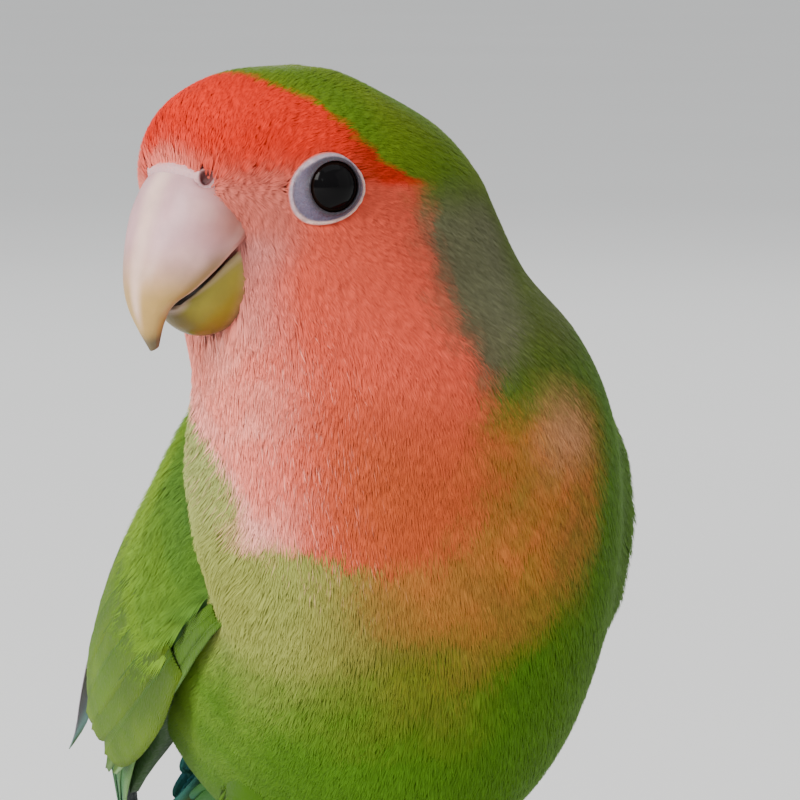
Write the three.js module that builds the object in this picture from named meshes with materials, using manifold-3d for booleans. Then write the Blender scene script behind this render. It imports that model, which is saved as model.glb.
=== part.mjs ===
// A peach-faced lovebird standing on the floor, its head turned to its right.
// Sizes are in millimetres. The bird's body faces -Y, its left side is +X, and the floor is at Z = 0.
import * as THREE from "three";
import { mergeVertices } from "three/addons/utils/BufferGeometryUtils.js";
import Module from "manifold-3d";

const wasm = await Module();
wasm.setup();

const GAP = 0.35; // clearance between nodes that touch
const DEG = Math.PI / 180;
const { Vector3 } = THREE;

// Where the middle of the footprint lies in the coordinates that the stations below use.
const FOOTPRINT = new Vector3(-3.4, 32, 0);

// The feathered body is one surface swept up a spine, from the root of the tail to the crown.
// Each station has its middle, the pitch of the spine, how far the bird is turned to its right there,
// and the half width, front depth and back depth of its section.
const HEAD_TURN = 68;
const FLESH = [
  { x: 0, y: 48.4, z: 33.4, pitch: 30, turn: 0, side: 5.4, front: 5, back: 3.6 },
  { x: 0, y: 40.5, z: 39.5, pitch: 32, turn: 0, side: 13.5, front: 17, back: 9 },
  { x: 0, y: 31.5, z: 45.5, pitch: 35, turn: 0, side: 18.3, front: 26.5, back: 12.5 },
  { x: 0, y: 20, z: 52, pitch: 39, turn: 0, side: 20.6, front: 32, back: 16.5 },
  { x: 0, y: 8.5, z: 58.5, pitch: 45, turn: 0, side: 21, front: 32, back: 19.5 },
  { x: -0.3, y: -0.5, z: 66.5, pitch: 54, turn: 3, side: 20.7, front: 26.5, back: 20.5 },
  { x: -2.2, y: -4, z: 74, pitch: 66, turn: 16, side: 20.6, front: 19.8, back: 21 },
  { x: -5.2, y: -3.6, z: 81, pitch: 80, turn: 42, side: 19.6, front: 17, back: 20.8 },
  { x: -9.1, y: -1.3, z: 86.5, pitch: 88, turn: 62, side: 16.8, front: 15, back: 21.2 },
  { x: -10.9, y: -0.4, z: 91.3, pitch: 90, turn: HEAD_TURN, side: 15.2, front: 15.8, back: 20.8 },
  { x: -11.8, y: -0.5, z: 96, pitch: 90, turn: HEAD_TURN, side: 14, front: 17.4, back: 19.3 },
  { x: -12.4, y: -0.7, z: 100.5, pitch: 90, turn: HEAD_TURN, side: 12.3, front: 16.4, back: 15 },
  { x: -12.8, y: -0.8, z: 104, pitch: 90, turn: HEAD_TURN, side: 9.3, front: 13.2, back: 8.6 },
  { x: -13.2, y: -0.9, z: 106.3, pitch: 90, turn: HEAD_TURN, side: 5, front: 7.5, back: 3.8 },
  { x: -13.3, y: -0.9, z: 106.9, pitch: 90, turn: HEAD_TURN, side: 0, front: 0, back: 0 },
];
const TOP = FLESH.length - 1;
const RADII = ["side", "front", "back"];
const NECK_FROM = 5.6; // stations where the neck and the head begin
const HEAD_FROM = 8.2;
const SEAM = 0.05; // stations left free between torso, neck and head
const AROUND_STEPS = 32;
const RINGS_PER_STATION = 2.4;

// A Catmull-Rom value between stations. Past the last one a signed value turns negative, for a round end.
function between(stations, key, u, signed = false) {
  const last = stations.length - 1;
  const i = Math.min(Math.max(Math.floor(u), 0), last - 1);
  const t = u - i;
  const at = (k) => {
    if (k < 0) return 2 * stations[0][key] - stations[-k][key];
    if (k > last && signed) return -stations[2 * last - k][key];
    if (k > last) return 2 * stations[last][key] - stations[2 * last - k][key];
    return stations[k][key];
  };
  const [a, b, c, d] = [at(i - 1), at(i), at(i + 1), at(i + 2)];
  return b + 0.5 * t * (c - a + t * (2 * a - 5 * b + 4 * c - d + t * (3 * (b - c) + d - a)));
}

// A point of the body's surface. Around is 0 on the body's left and 90 degrees in front of it; lift
// stands the point out. The section turns with the head, but around is counted from the body's left.
function fleshPoint(u, around, lift = 0) {
  const of = (key) => between(FLESH, key, u, RADII.includes(key));
  const pitch = of("pitch") * DEG;
  const turn = of("turn") * DEG;
  const across = new Vector3(1, 0, 0);
  const ahead = new Vector3(0, -Math.sin(pitch), -Math.cos(pitch));
  const front = ahead.clone().multiplyScalar(Math.cos(turn)).addScaledVector(across, -Math.sin(turn));
  const left = across.clone().multiplyScalar(Math.cos(turn)).addScaledVector(ahead, Math.sin(turn));
  const c = Math.cos(around - turn);
  const s = Math.sin(around - turn);
  const side = Math.max(of("side") + lift, 0);
  const depth = Math.max(of(s > 0 ? "front" : "back") + lift, 0);
  const middle = new Vector3(of("x"), of("y"), of("z"));
  return middle.addScaledVector(left, side * c).addScaledVector(front, depth * s);
}

// A three.js geometry as a solid, its shared corners merged and its faces turned outwards.
function solid(geometry) {
  const bare = geometry.clone();
  bare.deleteAttribute("normal");
  bare.deleteAttribute("uv");
  const merged = mergeVertices(bare, 1e-4);
  const triVerts = new Uint32Array(merged.index.array);
  const vertProperties = new Float32Array(merged.attributes.position.array);
  const made = new wasm.Manifold(new wasm.Mesh({ numProp: 3, vertProperties, triVerts }));
  if (made.volume() > 0) return made;
  for (let i = 0; i < triVerts.length; i += 3) {
    [triVerts[i + 1], triVerts[i + 2]] = [triVerts[i + 2], triVerts[i + 1]];
  }
  return new wasm.Manifold(new wasm.Mesh({ numProp: 3, vertProperties, triVerts }));
}

function meshOf(points, faces) {
  const geometry = new THREE.BufferGeometry().setFromPoints(points);
  geometry.setIndex(faces);
  return solid(geometry);
}

// A closed solid through rings of points, each ring the same length, its two ends filled.
function ringSolid(rings) {
  const n = rings[0].length;
  const points = rings.flat();
  const faces = [];
  for (let i = 0; i + 1 < rings.length; i++)
    for (let j = 0; j < n; j++) {
      const [a, b] = [i * n + j, i * n + ((j + 1) % n)];
      faces.push(a, b, b + n, a, b + n, a + n);
    }
  for (const ring of [0, rings.length - 1]) {
    points.push(rings[ring].reduce((sum, p) => sum.add(p), new Vector3()).divideScalar(n));
    const middle = points.length - 1;
    for (let j = 0; j < n; j++) {
      const [a, b] = [ring * n + j, ring * n + ((j + 1) % n)];
      faces.push(...(ring === 0 ? [middle, b, a] : [middle, a, b]));
    }
  }
  return meshOf(points, faces);
}

// A thin closed solid between two grids of points, which splits both faces into triangles alike.
function sheetSolid(over, under) {
  const rows = over.length;
  const cols = over[0].length;
  const size = rows * cols;
  const faces = [];
  for (let i = 0; i + 1 < rows; i++)
    for (let j = 0; j + 1 < cols; j++) {
      const a = i * cols + j;
      const [b, c, d] = [a + 1, a + cols, a + cols + 1];
      faces.push(a, c, d, a, d, b, size + a, size + d, size + c, size + a, size + b, size + d);
    }
  const rim = [];
  for (let j = 0; j < cols - 1; j++) rim.push(j);
  for (let i = 0; i < rows - 1; i++) rim.push(i * cols + cols - 1);
  for (let j = cols - 1; j > 0; j--) rim.push((rows - 1) * cols + j);
  for (let i = rows - 1; i > 0; i--) rim.push(i * cols);
  rim.forEach((p, k) => {
    const q = rim[(k + 1) % rim.length];
    faces.push(p, q, size + q, p, size + q, size + p);
  });
  return meshOf([...over.flat(), ...under.flat()], faces);
}

function flesh(from, to, lift = 0) {
  const rings = [];
  const steps = Math.max(2, Math.round((to - from) * RINGS_PER_STATION));
  for (let i = 0; i <= steps; i++) {
    const u = from + ((to - from) * i) / steps;
    const ring = [];
    for (let j = 0; j < AROUND_STEPS; j++) ring.push(fleshPoint(u, (2 * Math.PI * j) / AROUND_STEPS, lift));
    rings.push(ring);
  }
  return ringSolid(rings);
}

// A limb of round sections through stations of [x, y, z, radius].
function limb(stations, sides) {
  const at = stations.map(([x, y, z]) => new Vector3(x, y, z));
  const rings = at.map((middle, i) => {
    const way = at[Math.min(i + 1, at.length - 1)].clone().sub(at[Math.max(i - 1, 0)]).normalize();
    const side = Math.abs(way.z) < 0.8 ? new Vector3(0, 0, 1) : new Vector3(0, 1, 0);
    const across = new Vector3().crossVectors(side, way).normalize();
    const up = new Vector3().crossVectors(way, across);
    return Array.from({ length: sides }, (_, j) => {
      const a = (2 * Math.PI * (j + 0.5)) / sides;
      const r = stations[i][3];
      return middle.clone().addScaledVector(across, r * Math.cos(a)).addScaledVector(up, r * Math.sin(a));
    });
  });
  return ringSolid(rings);
}

function ball(centre, r, widthSteps, heightSteps) {
  const geometry = new THREE.SphereGeometry(r, widthSteps, heightSteps);
  return solid(geometry.translate(centre.x, centre.y, centre.z));
}

// A shape turned from a profile of [radius, height] points, its axis laid along the given way.
function turnedAbout(profile, at, way, steps) {
  const geometry = new THREE.LatheGeometry(profile.map(([r, h]) => new THREE.Vector2(r, h)), steps);
  geometry.applyQuaternion(new THREE.Quaternion().setFromUnitVectors(new Vector3(0, 1, 0), way));
  return solid(geometry.translate(at.x, at.y, at.z));
}

const union = (pieces) => wasm.Manifold.union(pieces);
const largest = (made) => made.decompose().reduce((best, m) => (m.volume() > best.volume() ? m : best));

const bird = new THREE.Group();
bird.position.copy(FOOTPRINT).negate();

function add(name, made, material) {
  const out = largest(made).getMesh();
  const n = out.numProp;
  const position = new Float32Array(out.numVert * 3);
  for (let i = 0; i < out.numVert; i++) position.set(out.vertProperties.subarray(i * n, i * n + 3), i * 3);
  const geometry = new THREE.BufferGeometry();
  geometry.setAttribute("position", new THREE.BufferAttribute(position, 3));
  geometry.setIndex(new THREE.BufferAttribute(new Uint32Array(out.triVerts), 1));
  const mesh = new THREE.Mesh(geometry, material);
  mesh.name = name;
  bird.add(mesh);
}

const finish = (color, roughness) => new THREE.MeshStandardMaterial({ color, roughness, metalness: 0 });
const GREEN = finish(0x6f9c2e, 0.8);
const PEACH = finish(0xd9614a, 0.8);
const PINK = finish(0xe08a7c, 0.8);
const WING_GREEN = finish(0x5f9436, 0.7);
const TAIL_BLUE = finish(0x3f8f7e, 0.7);
const HORN = finish(0xd8cdb4, 0.35);
const LOWER_HORN = finish(0xa89c45, 0.4);
const EYE_BLACK = finish(0x08070a, 0.05);
const LEG_GREY = finish(0x8a8580, 0.7);
const CLAW_GREY = finish(0x4a4542, 0.4);

// Torso, neck and head flesh, and the space that every other node keeps clear of them.
const fleshSpace = flesh(0, TOP, GAP);

// The head's own frame has f ahead along the bill, l to the head's left, and up from the eyes' level.
const HEAD_MIDDLE = new Vector3(-15.2, -2, 96);
const HEAD_AHEAD = new Vector3(-Math.sin(HEAD_TURN * DEG), -Math.cos(HEAD_TURN * DEG), 0);
const HEAD_LEFT = new Vector3(Math.cos(HEAD_TURN * DEG), -Math.sin(HEAD_TURN * DEG), 0);

function headPoint(f, l, up) {
  const level = new Vector3(0, 0, up);
  return level.add(HEAD_MIDDLE).addScaledVector(HEAD_AHEAD, f).addScaledVector(HEAD_LEFT, l);
}

// Eyes: a ball in a socket, and a raised ring of lids round it.
const EYE = { f: 4, l: 12.7, up: 0, r: 3.5, open: 2.45, lid: 3.6, rise: 0.75, look: 20 * DEG };
const LID_DEPTH = 2.4;

function eyeFrame(side) {
  const surface = headPoint(EYE.f, EYE.l * side, EYE.up);
  const out = HEAD_LEFT.clone().multiplyScalar(side * Math.cos(EYE.look));
  return { surface, out: out.addScaledVector(HEAD_AHEAD, Math.sin(EYE.look)) };
}

function lidRing(side) {
  const { surface, out } = eyeFrame(side);
  const inner = EYE.open - 0.2;
  const profile = [
    [inner, -LID_DEPTH],
    [EYE.lid - 0.2, -LID_DEPTH],
    [EYE.lid + 0.1, 0],
    [EYE.lid - 0.45, EYE.rise],
    [EYE.open + 0.15, EYE.rise],
    [inner, EYE.rise - 0.5],
    [inner, -LID_DEPTH],
  ];
  return turnedAbout(profile, surface, out, 16);
}

function eyeBall(side, grown = 0) {
  const { surface, out } = eyeFrame(side);
  const sunk = Math.sqrt(EYE.r ** 2 - EYE.open ** 2) + 0.55 - EYE.rise;
  return ball(surface.addScaledVector(out, -sunk), EYE.r + grown, 16, 10);
}

// The bill. Each station has the point of its ridge or keel, the point of its cutting edges, and the
// half width between those edges. A section rounds from one edge over the ridge to the other edge.
const UPPER_BILL = [
  { ridgeF: 13.4, ridgeUp: 1.8, edgeF: 8, edgeUp: -1, half: 5.4 },
  { ridgeF: 14.8, ridgeUp: 0.4, edgeF: 8.4, edgeUp: -3.2, half: 6.3 },
  { ridgeF: 16, ridgeUp: -2.1, edgeF: 9.6, edgeUp: -4.9, half: 6.7 },
  { ridgeF: 16.9, ridgeUp: -4.9, edgeF: 10.9, edgeUp: -6.3, half: 6.2 },
  { ridgeF: 17.6, ridgeUp: -7.6, edgeF: 12.2, edgeUp: -8, half: 5.3 },
  { ridgeF: 17.9, ridgeUp: -10, edgeF: 13.9, edgeUp: -9.9, half: 4.1 },
  { ridgeF: 17.6, ridgeUp: -12.2, edgeF: 15.3, edgeUp: -11.3, half: 2.8 },
  { ridgeF: 16.9, ridgeUp: -14.1, edgeF: 15.5, edgeUp: -13.1, half: 1.6 },
  { ridgeF: 15.9, ridgeUp: -15.9, edgeF: 15.3, edgeUp: -15.5, half: 0.5 },
];
const LOWER_BILL = [
  { ridgeF: 4.6, ridgeUp: -13, edgeF: 6.4, edgeUp: -4.2, half: 6 },
  { ridgeF: 7.6, ridgeUp: -14.5, edgeF: 8.4, edgeUp: -5.4, half: 5.9 },
  { ridgeF: 10.2, ridgeUp: -14.8, edgeF: 10.2, edgeUp: -7, half: 5.2 },
  { ridgeF: 12.1, ridgeUp: -14.1, edgeF: 11.7, edgeUp: -8.8, half: 4.3 },
  { ridgeF: 13.3, ridgeUp: -12.9, edgeF: 12.9, edgeUp: -10.4, half: 3.1 },
  { ridgeF: 13.8, ridgeUp: -12.1, edgeF: 13.6, edgeUp: -11.5, half: 1.8 },
];
const BILL_ARC = 12; // steps over the ridge
const BILL_PALATE = 4; // steps back across the inside
const PALATE_HOLLOW = 0.24; // of the section's height

function billRing(stations, u, lift) {
  const of = (key) => between(stations, key, u);
  const edge = headPoint(of("edgeF"), 0, of("edgeUp"));
  const rise = headPoint(of("ridgeF"), 0, of("ridgeUp")).sub(edge);
  const way = rise.clone().normalize();
  const half = of("half") + lift;
  const high = rise.length() + 2 * lift;
  edge.addScaledVector(way, -lift);
  const place = (l, h) => edge.clone().addScaledVector(HEAD_LEFT, half * l).addScaledVector(way, high * h);
  const ring = [];
  for (let j = 0; j <= BILL_ARC; j++) {
    const a = (Math.PI * j) / BILL_ARC;
    ring.push(place(Math.cos(a), Math.sin(a) ** 0.9));
  }
  for (let j = 1; j < BILL_PALATE; j++) {
    const l = (2 * j) / BILL_PALATE - 1;
    ring.push(place(l, PALATE_HOLLOW * (1 - l * l)));
  }
  return ring;
}

function bill(stations, lift = 0) {
  const steps = Math.round((stations.length - 1) * 1.75);
  const last = stations.length - 1;
  return ringSolid(Array.from({ length: steps + 1 }, (_, i) => billRing(stations, (last * i) / steps, lift)));
}

// Cere: a low swelling over the bill's root with a nostril in each side.
const CERE = { f: 10.9, up: 0.9, reach: 5, half: 5.7, rise: 2 };
const NOSTRIL = { f: 13.5, l: 3.9, up: 1.1, r: 0.6, deep: 1.8, out: 1.5 };

function cere() {
  const geometry = new THREE.SphereGeometry(1, 14, 8);
  geometry.scale(CERE.half, CERE.reach, CERE.rise).rotateZ(-HEAD_TURN * DEG);
  const at = headPoint(CERE.f, 0, CERE.up);
  return solid(geometry.translate(at.x, at.y, at.z));
}

function nostril(side) {
  const at = headPoint(NOSTRIL.f, NOSTRIL.l * side, NOSTRIL.up);
  const way = HEAD_AHEAD.clone().multiplyScalar(0.72).addScaledVector(HEAD_LEFT, 0.6 * side);
  way.z = 0.35;
  const { r, deep, out } = NOSTRIL;
  return turnedAbout([[0, -deep], [r, -deep], [r, out], [0, out]], at, way.normalize(), 8);
}

const upperBill = bill(UPPER_BILL);
const upperBillSpace = bill(UPPER_BILL, GAP);

function head() {
  const bare = flesh(HEAD_FROM + SEAM, TOP - 0.02);
  const swollen = union([bare, lidRing(1), lidRing(-1), cere()]);
  const pits = union([eyeBall(1, GAP), eyeBall(-1, GAP), nostril(1), nostril(-1)]);
  return swollen.subtract(pits);
}

const headSolid = head();

add("torso", flesh(0, NECK_FROM), GREEN);
add("neck", flesh(NECK_FROM + SEAM, HEAD_FROM), PINK);
add("head", headSolid.subtract(upperBillSpace.subtract(flesh(HEAD_FROM, TOP))), PEACH);
add("beak_upper", upperBill.subtract(fleshSpace), HORN);
add("beak_lower", bill(LOWER_BILL).subtract(union([fleshSpace, upperBillSpace])), LOWER_HORN);
add("eye_left", eyeBall(1), EYE_BLACK);
add("eye_right", eyeBall(-1), EYE_BLACK);

// Feathers. A vane lies on a surface that place(s, t) describes by its point, its way out and its
// width: s runs along the feathers and t across them. Its root is sunk and its tip stands free.
const VANE_ROWS = [0, 0.42, 0.74, 0.93, 1];
const VANE_WIDTHS = [0.62, 1, 0.96, 0.6, 0.2];
const VANE_THICK = 0.55;

function vane(place, { s, t, half, lift, tilt }) {
  const over = [];
  const under = [];
  VANE_ROWS.forEach((v, i) => {
    const [ss, tt] = [s[0] + (s[1] - s[0]) * v, t[0] + (t[1] - t[0]) * v];
    const { width } = place(ss, tt);
    const spots = [-1, 1].map((w) => {
      const { point, out } = place(ss, tt + (w * half * VANE_WIDTHS[i]) / width);
      const up = lift[0] + (lift[1] - lift[0]) * v - tilt * w * VANE_WIDTHS[i];
      return { point: point.addScaledVector(out, up), out };
    });
    over.push(spots.map(({ point }) => point));
    under.push(spots.map(({ point, out }) => point.clone().addScaledVector(out, -VANE_THICK)));
  });
  return sheetSolid(over, under);
}

// The folded wing lies between its lower edge, from the wrist back, and its upper edge along the back.
// Bulge is how far the middle of the section stands out, and deep how thick the fleshy core is there.
const WING = [
  { lowX: 20.4, lowY: -5, lowZ: 52.5, highX: 19.6, highY: 2, highZ: 75.5, bulge: 2.4, deep: 3 },
  { lowX: 21.2, lowY: 3, lowZ: 47, highX: 16.5, highY: 10.5, highZ: 75.8, bulge: 4.7, deep: 6 },
  { lowX: 21.2, lowY: 11.5, lowZ: 41, highX: 13.8, highY: 19.6, highZ: 71.2, bulge: 6, deep: 7 },
  { lowX: 21, lowY: 20.5, lowZ: 35, highX: 11.3, highY: 30.1, highZ: 64.2, bulge: 7, deep: 8 },
  { lowX: 19.8, lowY: 31, lowZ: 30, highX: 9, highY: 39.5, highZ: 55.2, bulge: 6.8, deep: 7 },
  { lowX: 17.5, lowY: 42.5, lowZ: 25.8, highX: 6.8, highY: 48, highZ: 46, bulge: 5.2, deep: 4 },
  { lowX: 14.5, lowY: 54, lowZ: 22.3, highX: 5.2, highY: 56.5, highZ: 37.2, bulge: 3.2, deep: 2 },
  { lowX: 11.3, lowY: 65, lowZ: 19.3, highX: 4.2, highY: 66, highZ: 28.6, bulge: 1.7, deep: 1.4 },
  { lowX: 8.2, lowY: 75, lowZ: 16.8, highX: 3.4, highY: 75.5, highZ: 21.2, bulge: 0.6, deep: 1.2 },
];
const WING_CORE_TO = 5.4;
const WING_STEP = 0.02;

function wingPoint(side, s, t) {
  const of = (key) => between(WING, key, s);
  const low = new Vector3(of("lowX"), of("lowY"), of("lowZ"));
  const high = new Vector3(of("highX"), of("highY"), of("highZ"));
  const middle = low.clone().lerp(high, t);
  const back = new Vector3(-0.2, 0.85, -0.48);
  const out = new Vector3().crossVectors(back, high.clone().sub(low)).normalize();
  middle.addScaledVector(out, of("bulge") * 4 * t * (1 - t));
  return new Vector3(side * middle.x, middle.y, middle.z);
}

function wingPlace(side) {
  return (s, t) => {
    const point = wingPoint(side, s, t);
    const along = wingPoint(side, s + WING_STEP, t).sub(point);
    const across = wingPoint(side, s, t + WING_STEP).sub(point);
    const out = new Vector3().crossVectors(along, across).normalize().multiplyScalar(side);
    const width = wingPoint(side, s, 1).distanceTo(wingPoint(side, s, 0));
    return { point, out, width };
  };
}

function wingCore(place) {
  const over = [];
  const under = [];
  const [rows, cols] = [7, 5];
  for (let i = 0; i <= rows; i++) {
    const s = (WING_CORE_TO * i) / rows;
    const spots = Array.from({ length: cols }, (_, j) => place(s, 0.03 + (0.94 * j) / (cols - 1)));
    const deep = between(WING, "deep", s);
    over.push(spots.map(({ point, out }) => point.clone().addScaledVector(out, -0.45)));
    under.push(spots.map(({ point, out }) => point.clone().addScaledVector(out, -deep)));
  }
  return sheetSolid(over, under);
}

// Tiers of a wing, from the lowest layer out: the primaries, then the secondaries, then the greater,
// median and lesser coverts. Feathers are counted from the lower edge up, and k is a feather's number.
const PRIMARY_TIPS = [8, 7.9, 7.6, 7.2, 6.75, 6.3];
const primary = (k) => ({
  s: [2.7, PRIMARY_TIPS[k]],
  t: [0.07 + 0.075 * k, 0.2 + 0.1 * k],
  half: 3,
  lift: [-0.5, 0.75 * k - 2.6],
  tilt: 0.2,
});
const WING_TIERS = [
  { count: 5, from: 2.4, to: 5.75, retreat: 0.13, low: 0.46, step: 0.11, tip: 1.1, tilt: 0.55 },
  { count: 6, from: 1.6, to: 3.9, retreat: 0.06, low: 0.09, step: 0.155, tip: 1.2, tilt: 0.5 },
  { count: 6, from: 0.7, to: 2.65, retreat: 0, low: 0.09, step: 0.16, tip: 1.3, tilt: 0.45 },
  { count: 6, from: 0.02, to: 1.6, retreat: 0, low: 0.07, step: 0.165, tip: 1.3, tilt: 0.4 },
];
const COVERT_HALF = 3.1;
const ROOT_SUNK = -0.45;

function tierFeather(tier, k) {
  const at = tier.low + tier.step * k;
  return {
    s: [tier.from, tier.to - tier.retreat * k],
    t: [at, at + 0.02 + 0.005 * k],
    half: COVERT_HALF,
    lift: [ROOT_SUNK, tier.tip],
    tilt: tier.tilt,
  };
}

function wing(side) {
  const place = wingPlace(side);
  const pieces = [wingCore(place)];
  for (let k = 0; k < PRIMARY_TIPS.length; k++) pieces.push(vane(place, primary(k)));
  for (const tier of WING_TIERS) {
    for (let k = 0; k < tier.count; k++) pieces.push(vane(place, tierFeather(tier, k)));
  }
  return union(pieces).subtract(fleshSpace);
}

// Tail: a closed fan of twelve feathers roofed over one another, with coverts over and under its root.
const TAIL = { y: 45, z: 34.6, drop: 39 * DEG, feather: 47, root: 2 };
const TAIL_BACK = new Vector3(0, Math.cos(TAIL.drop), -Math.sin(TAIL.drop));
const TAIL_UP = new Vector3(0, Math.sin(TAIL.drop), Math.cos(TAIL.drop));

// Coverts of the tail as [where the root lies, how far to the left, where the tip lies].
const TAIL_UPPER_COVERTS = [
  [3, 3.6, 18],
  [3, -3.6, 18],
  [6, 1.5, 24],
  [6, -1.5, 24],
  [9, 0, 29],
];
const TAIL_UNDER_COVERTS = [
  [3, 3.4, 17],
  [3, -3.4, 17],
  [5, 1.4, 23],
  [5, -1.4, 22],
];

// Along the tail s is in millimetres from its root, and t across it in millimetres to the left.
function tailPlace(s, t) {
  const point = new Vector3(t, TAIL.y, TAIL.z).addScaledVector(TAIL_BACK, s);
  return { point: point.addScaledVector(TAIL_UP, 0.0022 * s * s), out: TAIL_UP.clone(), width: 1 };
}

function tailFeather(pair, side) {
  const level = pair === 0 ? 0.45 * side : -0.45 - 0.85 * pair;
  return vane(tailPlace, {
    s: [TAIL.root, TAIL.feather + 2 - 0.9 * pair],
    t: [side * (0.5 + 0.55 * pair), side * (0.9 + 1.35 * pair)],
    half: 3.3,
    lift: [level, level],
    tilt: side * 0.25,
  });
}

const TAIL_BASE_SIDES = 14;

// The fleshy root of the tail, whose sections are [how far back, half width, half height].
function tailBase() {
  const stations = [
    [0, 5.6, 5.2],
    [6, 5.4, 4.6],
    [12, 5, 3.4],
    [17, 4.2, 1.9],
    [20, 3, 0.9],
  ];
  const rings = stations.map(([s, half, high]) => {
    const { point } = tailPlace(s, 0);
    point.addScaledVector(TAIL_UP, -2.2);
    return Array.from({ length: TAIL_BASE_SIDES }, (_, j) => {
      const a = (2 * Math.PI * j) / TAIL_BASE_SIDES;
      const across = new Vector3(half * Math.cos(a), 0, 0);
      return point.clone().add(across).addScaledVector(TAIL_UP, high * Math.sin(a));
    });
  });
  return ringSolid(rings);
}

function tail() {
  const pieces = [tailBase()];
  for (let pair = 0; pair < 6; pair++) pieces.push(tailFeather(pair, 1), tailFeather(pair, -1));
  for (const [from, t, to] of TAIL_UPPER_COVERTS) {
    const lift = [1.2, 2 - 0.05 * from];
    pieces.push(vane(tailPlace, { s: [from, to], t: [t * 0.7, t], half: 3, lift, tilt: 0.1 * Math.sign(t) }));
  }
  for (const [from, t, to] of TAIL_UNDER_COVERTS) {
    pieces.push(vane(tailPlace, { s: [from, to], t: [t * 0.7, t], half: 3, lift: [-5.2, -6], tilt: 0 }));
  }
  return union(pieces).subtract(fleshSpace);
}

add("wing_left", wing(1), WING_GREEN);
add("wing_right", wing(-1), WING_GREEN);
add("tail", tail(), TAIL_BLUE);

// Legs: a feathered thigh, a scaled foot with two toes ahead and two behind, and four claws.
const THIGH = [
  [8.5, 9, 38, 7.5],
  [9.4, 12.6, 30, 7],
  [10.4, 15.6, 23.4, 5],
  [11.2, 17.6, 18, 3.4],
  [11.5, 18.2, 14.6, 2.5],
];
const SHANK = [
  [11.5, 18.2, 14.2, 1.8],
  [11.5, 17.6, 12.2, 1.55],
  [11.7, 15, 7.4, 1.5],
  [11.9, 12.5, 3.4, 1.9],
  [12, 11.8, 1.7, 1.5],
];
const TOE_R = 1.45;
const TOE_UP = 1.3; // height of a toe's middle, which leaves it a narrow flat on the floor
const TOES = [
  { name: "inner_front", heading: -22, length: 11.5, claw: 4.6 },
  { name: "outer_front", heading: 12, length: 15, claw: 5.4 },
  { name: "inner_hind", heading: -158, length: 8.5, claw: 4.2 },
  { name: "outer_hind", heading: 146, length: 13.5, claw: 5 },
];
const FOOT_MIDDLE = { x: 12, y: 11.5 };

// A point at a distance out along a toe, whose heading is counted outwards from straight ahead.
function toePoint(side, heading, distance, up) {
  const a = heading * DEG;
  const x = FOOT_MIDDLE.x + distance * Math.sin(a);
  return [side * x, FOOT_MIDDLE.y - distance * Math.cos(a), up];
}

function toe(side, { heading, length }) {
  const along = (share, up, r) => [...toePoint(side, heading, length * share, up), r];
  return limb(
    [
      along(0, TOE_UP + 0.3, TOE_R + 0.2),
      along(0.25, TOE_UP + 0.1, TOE_R),
      along(0.42, TOE_UP, TOE_R - 0.15),
      along(0.6, TOE_UP, TOE_R),
      along(0.78, TOE_UP - 0.05, TOE_R - 0.2),
      along(0.94, TOE_UP - 0.05, TOE_R - 0.1),
      along(1.02, TOE_UP - 0.05, TOE_R - 0.6),
    ],
    8,
  );
}

function claw(side, { heading, length, claw: reach }) {
  const along = (share, up, r) => [...toePoint(side, heading, length * 0.96 + reach * share, up), r];
  const stations = [
    along(0, 1.7, 0.95),
    along(0.3, 2.1, 0.85),
    along(0.65, 1.8, 0.6),
    along(0.9, 1.05, 0.35),
    along(1, 0.5, 0.15),
  ];
  return limb(stations, 7);
}

function toeSpace(side, { heading, length }) {
  const along = (share, up, r) => [...toePoint(side, heading, length * share, up), r];
  const stations = [
    along(0.5, TOE_UP, TOE_R + GAP),
    along(0.94, TOE_UP, TOE_R - 0.1 + GAP),
    along(1.05, TOE_UP, TOE_R - 0.6 + GAP),
  ];
  return limb(stations, 8);
}

const mirrored = (stations, side) => stations.map(([x, y, z, r]) => [side * x, y, z, r]);
const underFloor = solid(new THREE.BoxGeometry(80, 80, 10).translate(0, 10, -5));

for (const [label, side] of [["left", 1], ["right", -1]]) {
  const thigh = limb(mirrored(THIGH, side), 14);
  add("thigh_" + label, thigh.subtract(fleshSpace), GREEN);
  const shank = limb(mirrored(SHANK, side), 10);
  const thighSpace = limb(mirrored(THIGH.map(([x, y, z, r]) => [x, y, z, r + GAP]), side), 14);
  const foot = union([shank, ...TOES.map((t) => toe(side, t))]);
  add("foot_" + label, foot.subtract(union([thighSpace, underFloor])), LEG_GREY);
  for (const t of TOES) {
    add("claw_" + label + "_" + t.name, claw(side, t).subtract(toeSpace(side, t)), CLAW_GREY);
  }
}

export default bird;
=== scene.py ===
"""A peach-faced lovebird, life size, standing on a plain floor with its head turned to its right.

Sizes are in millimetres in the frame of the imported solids: the bird's body faces -Y, its left side
is +X and the floor is at Z = 0. Points become metres when a mesh is made from them.
"""

import bpy
import numpy as np
from mathutils import Matrix


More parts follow.
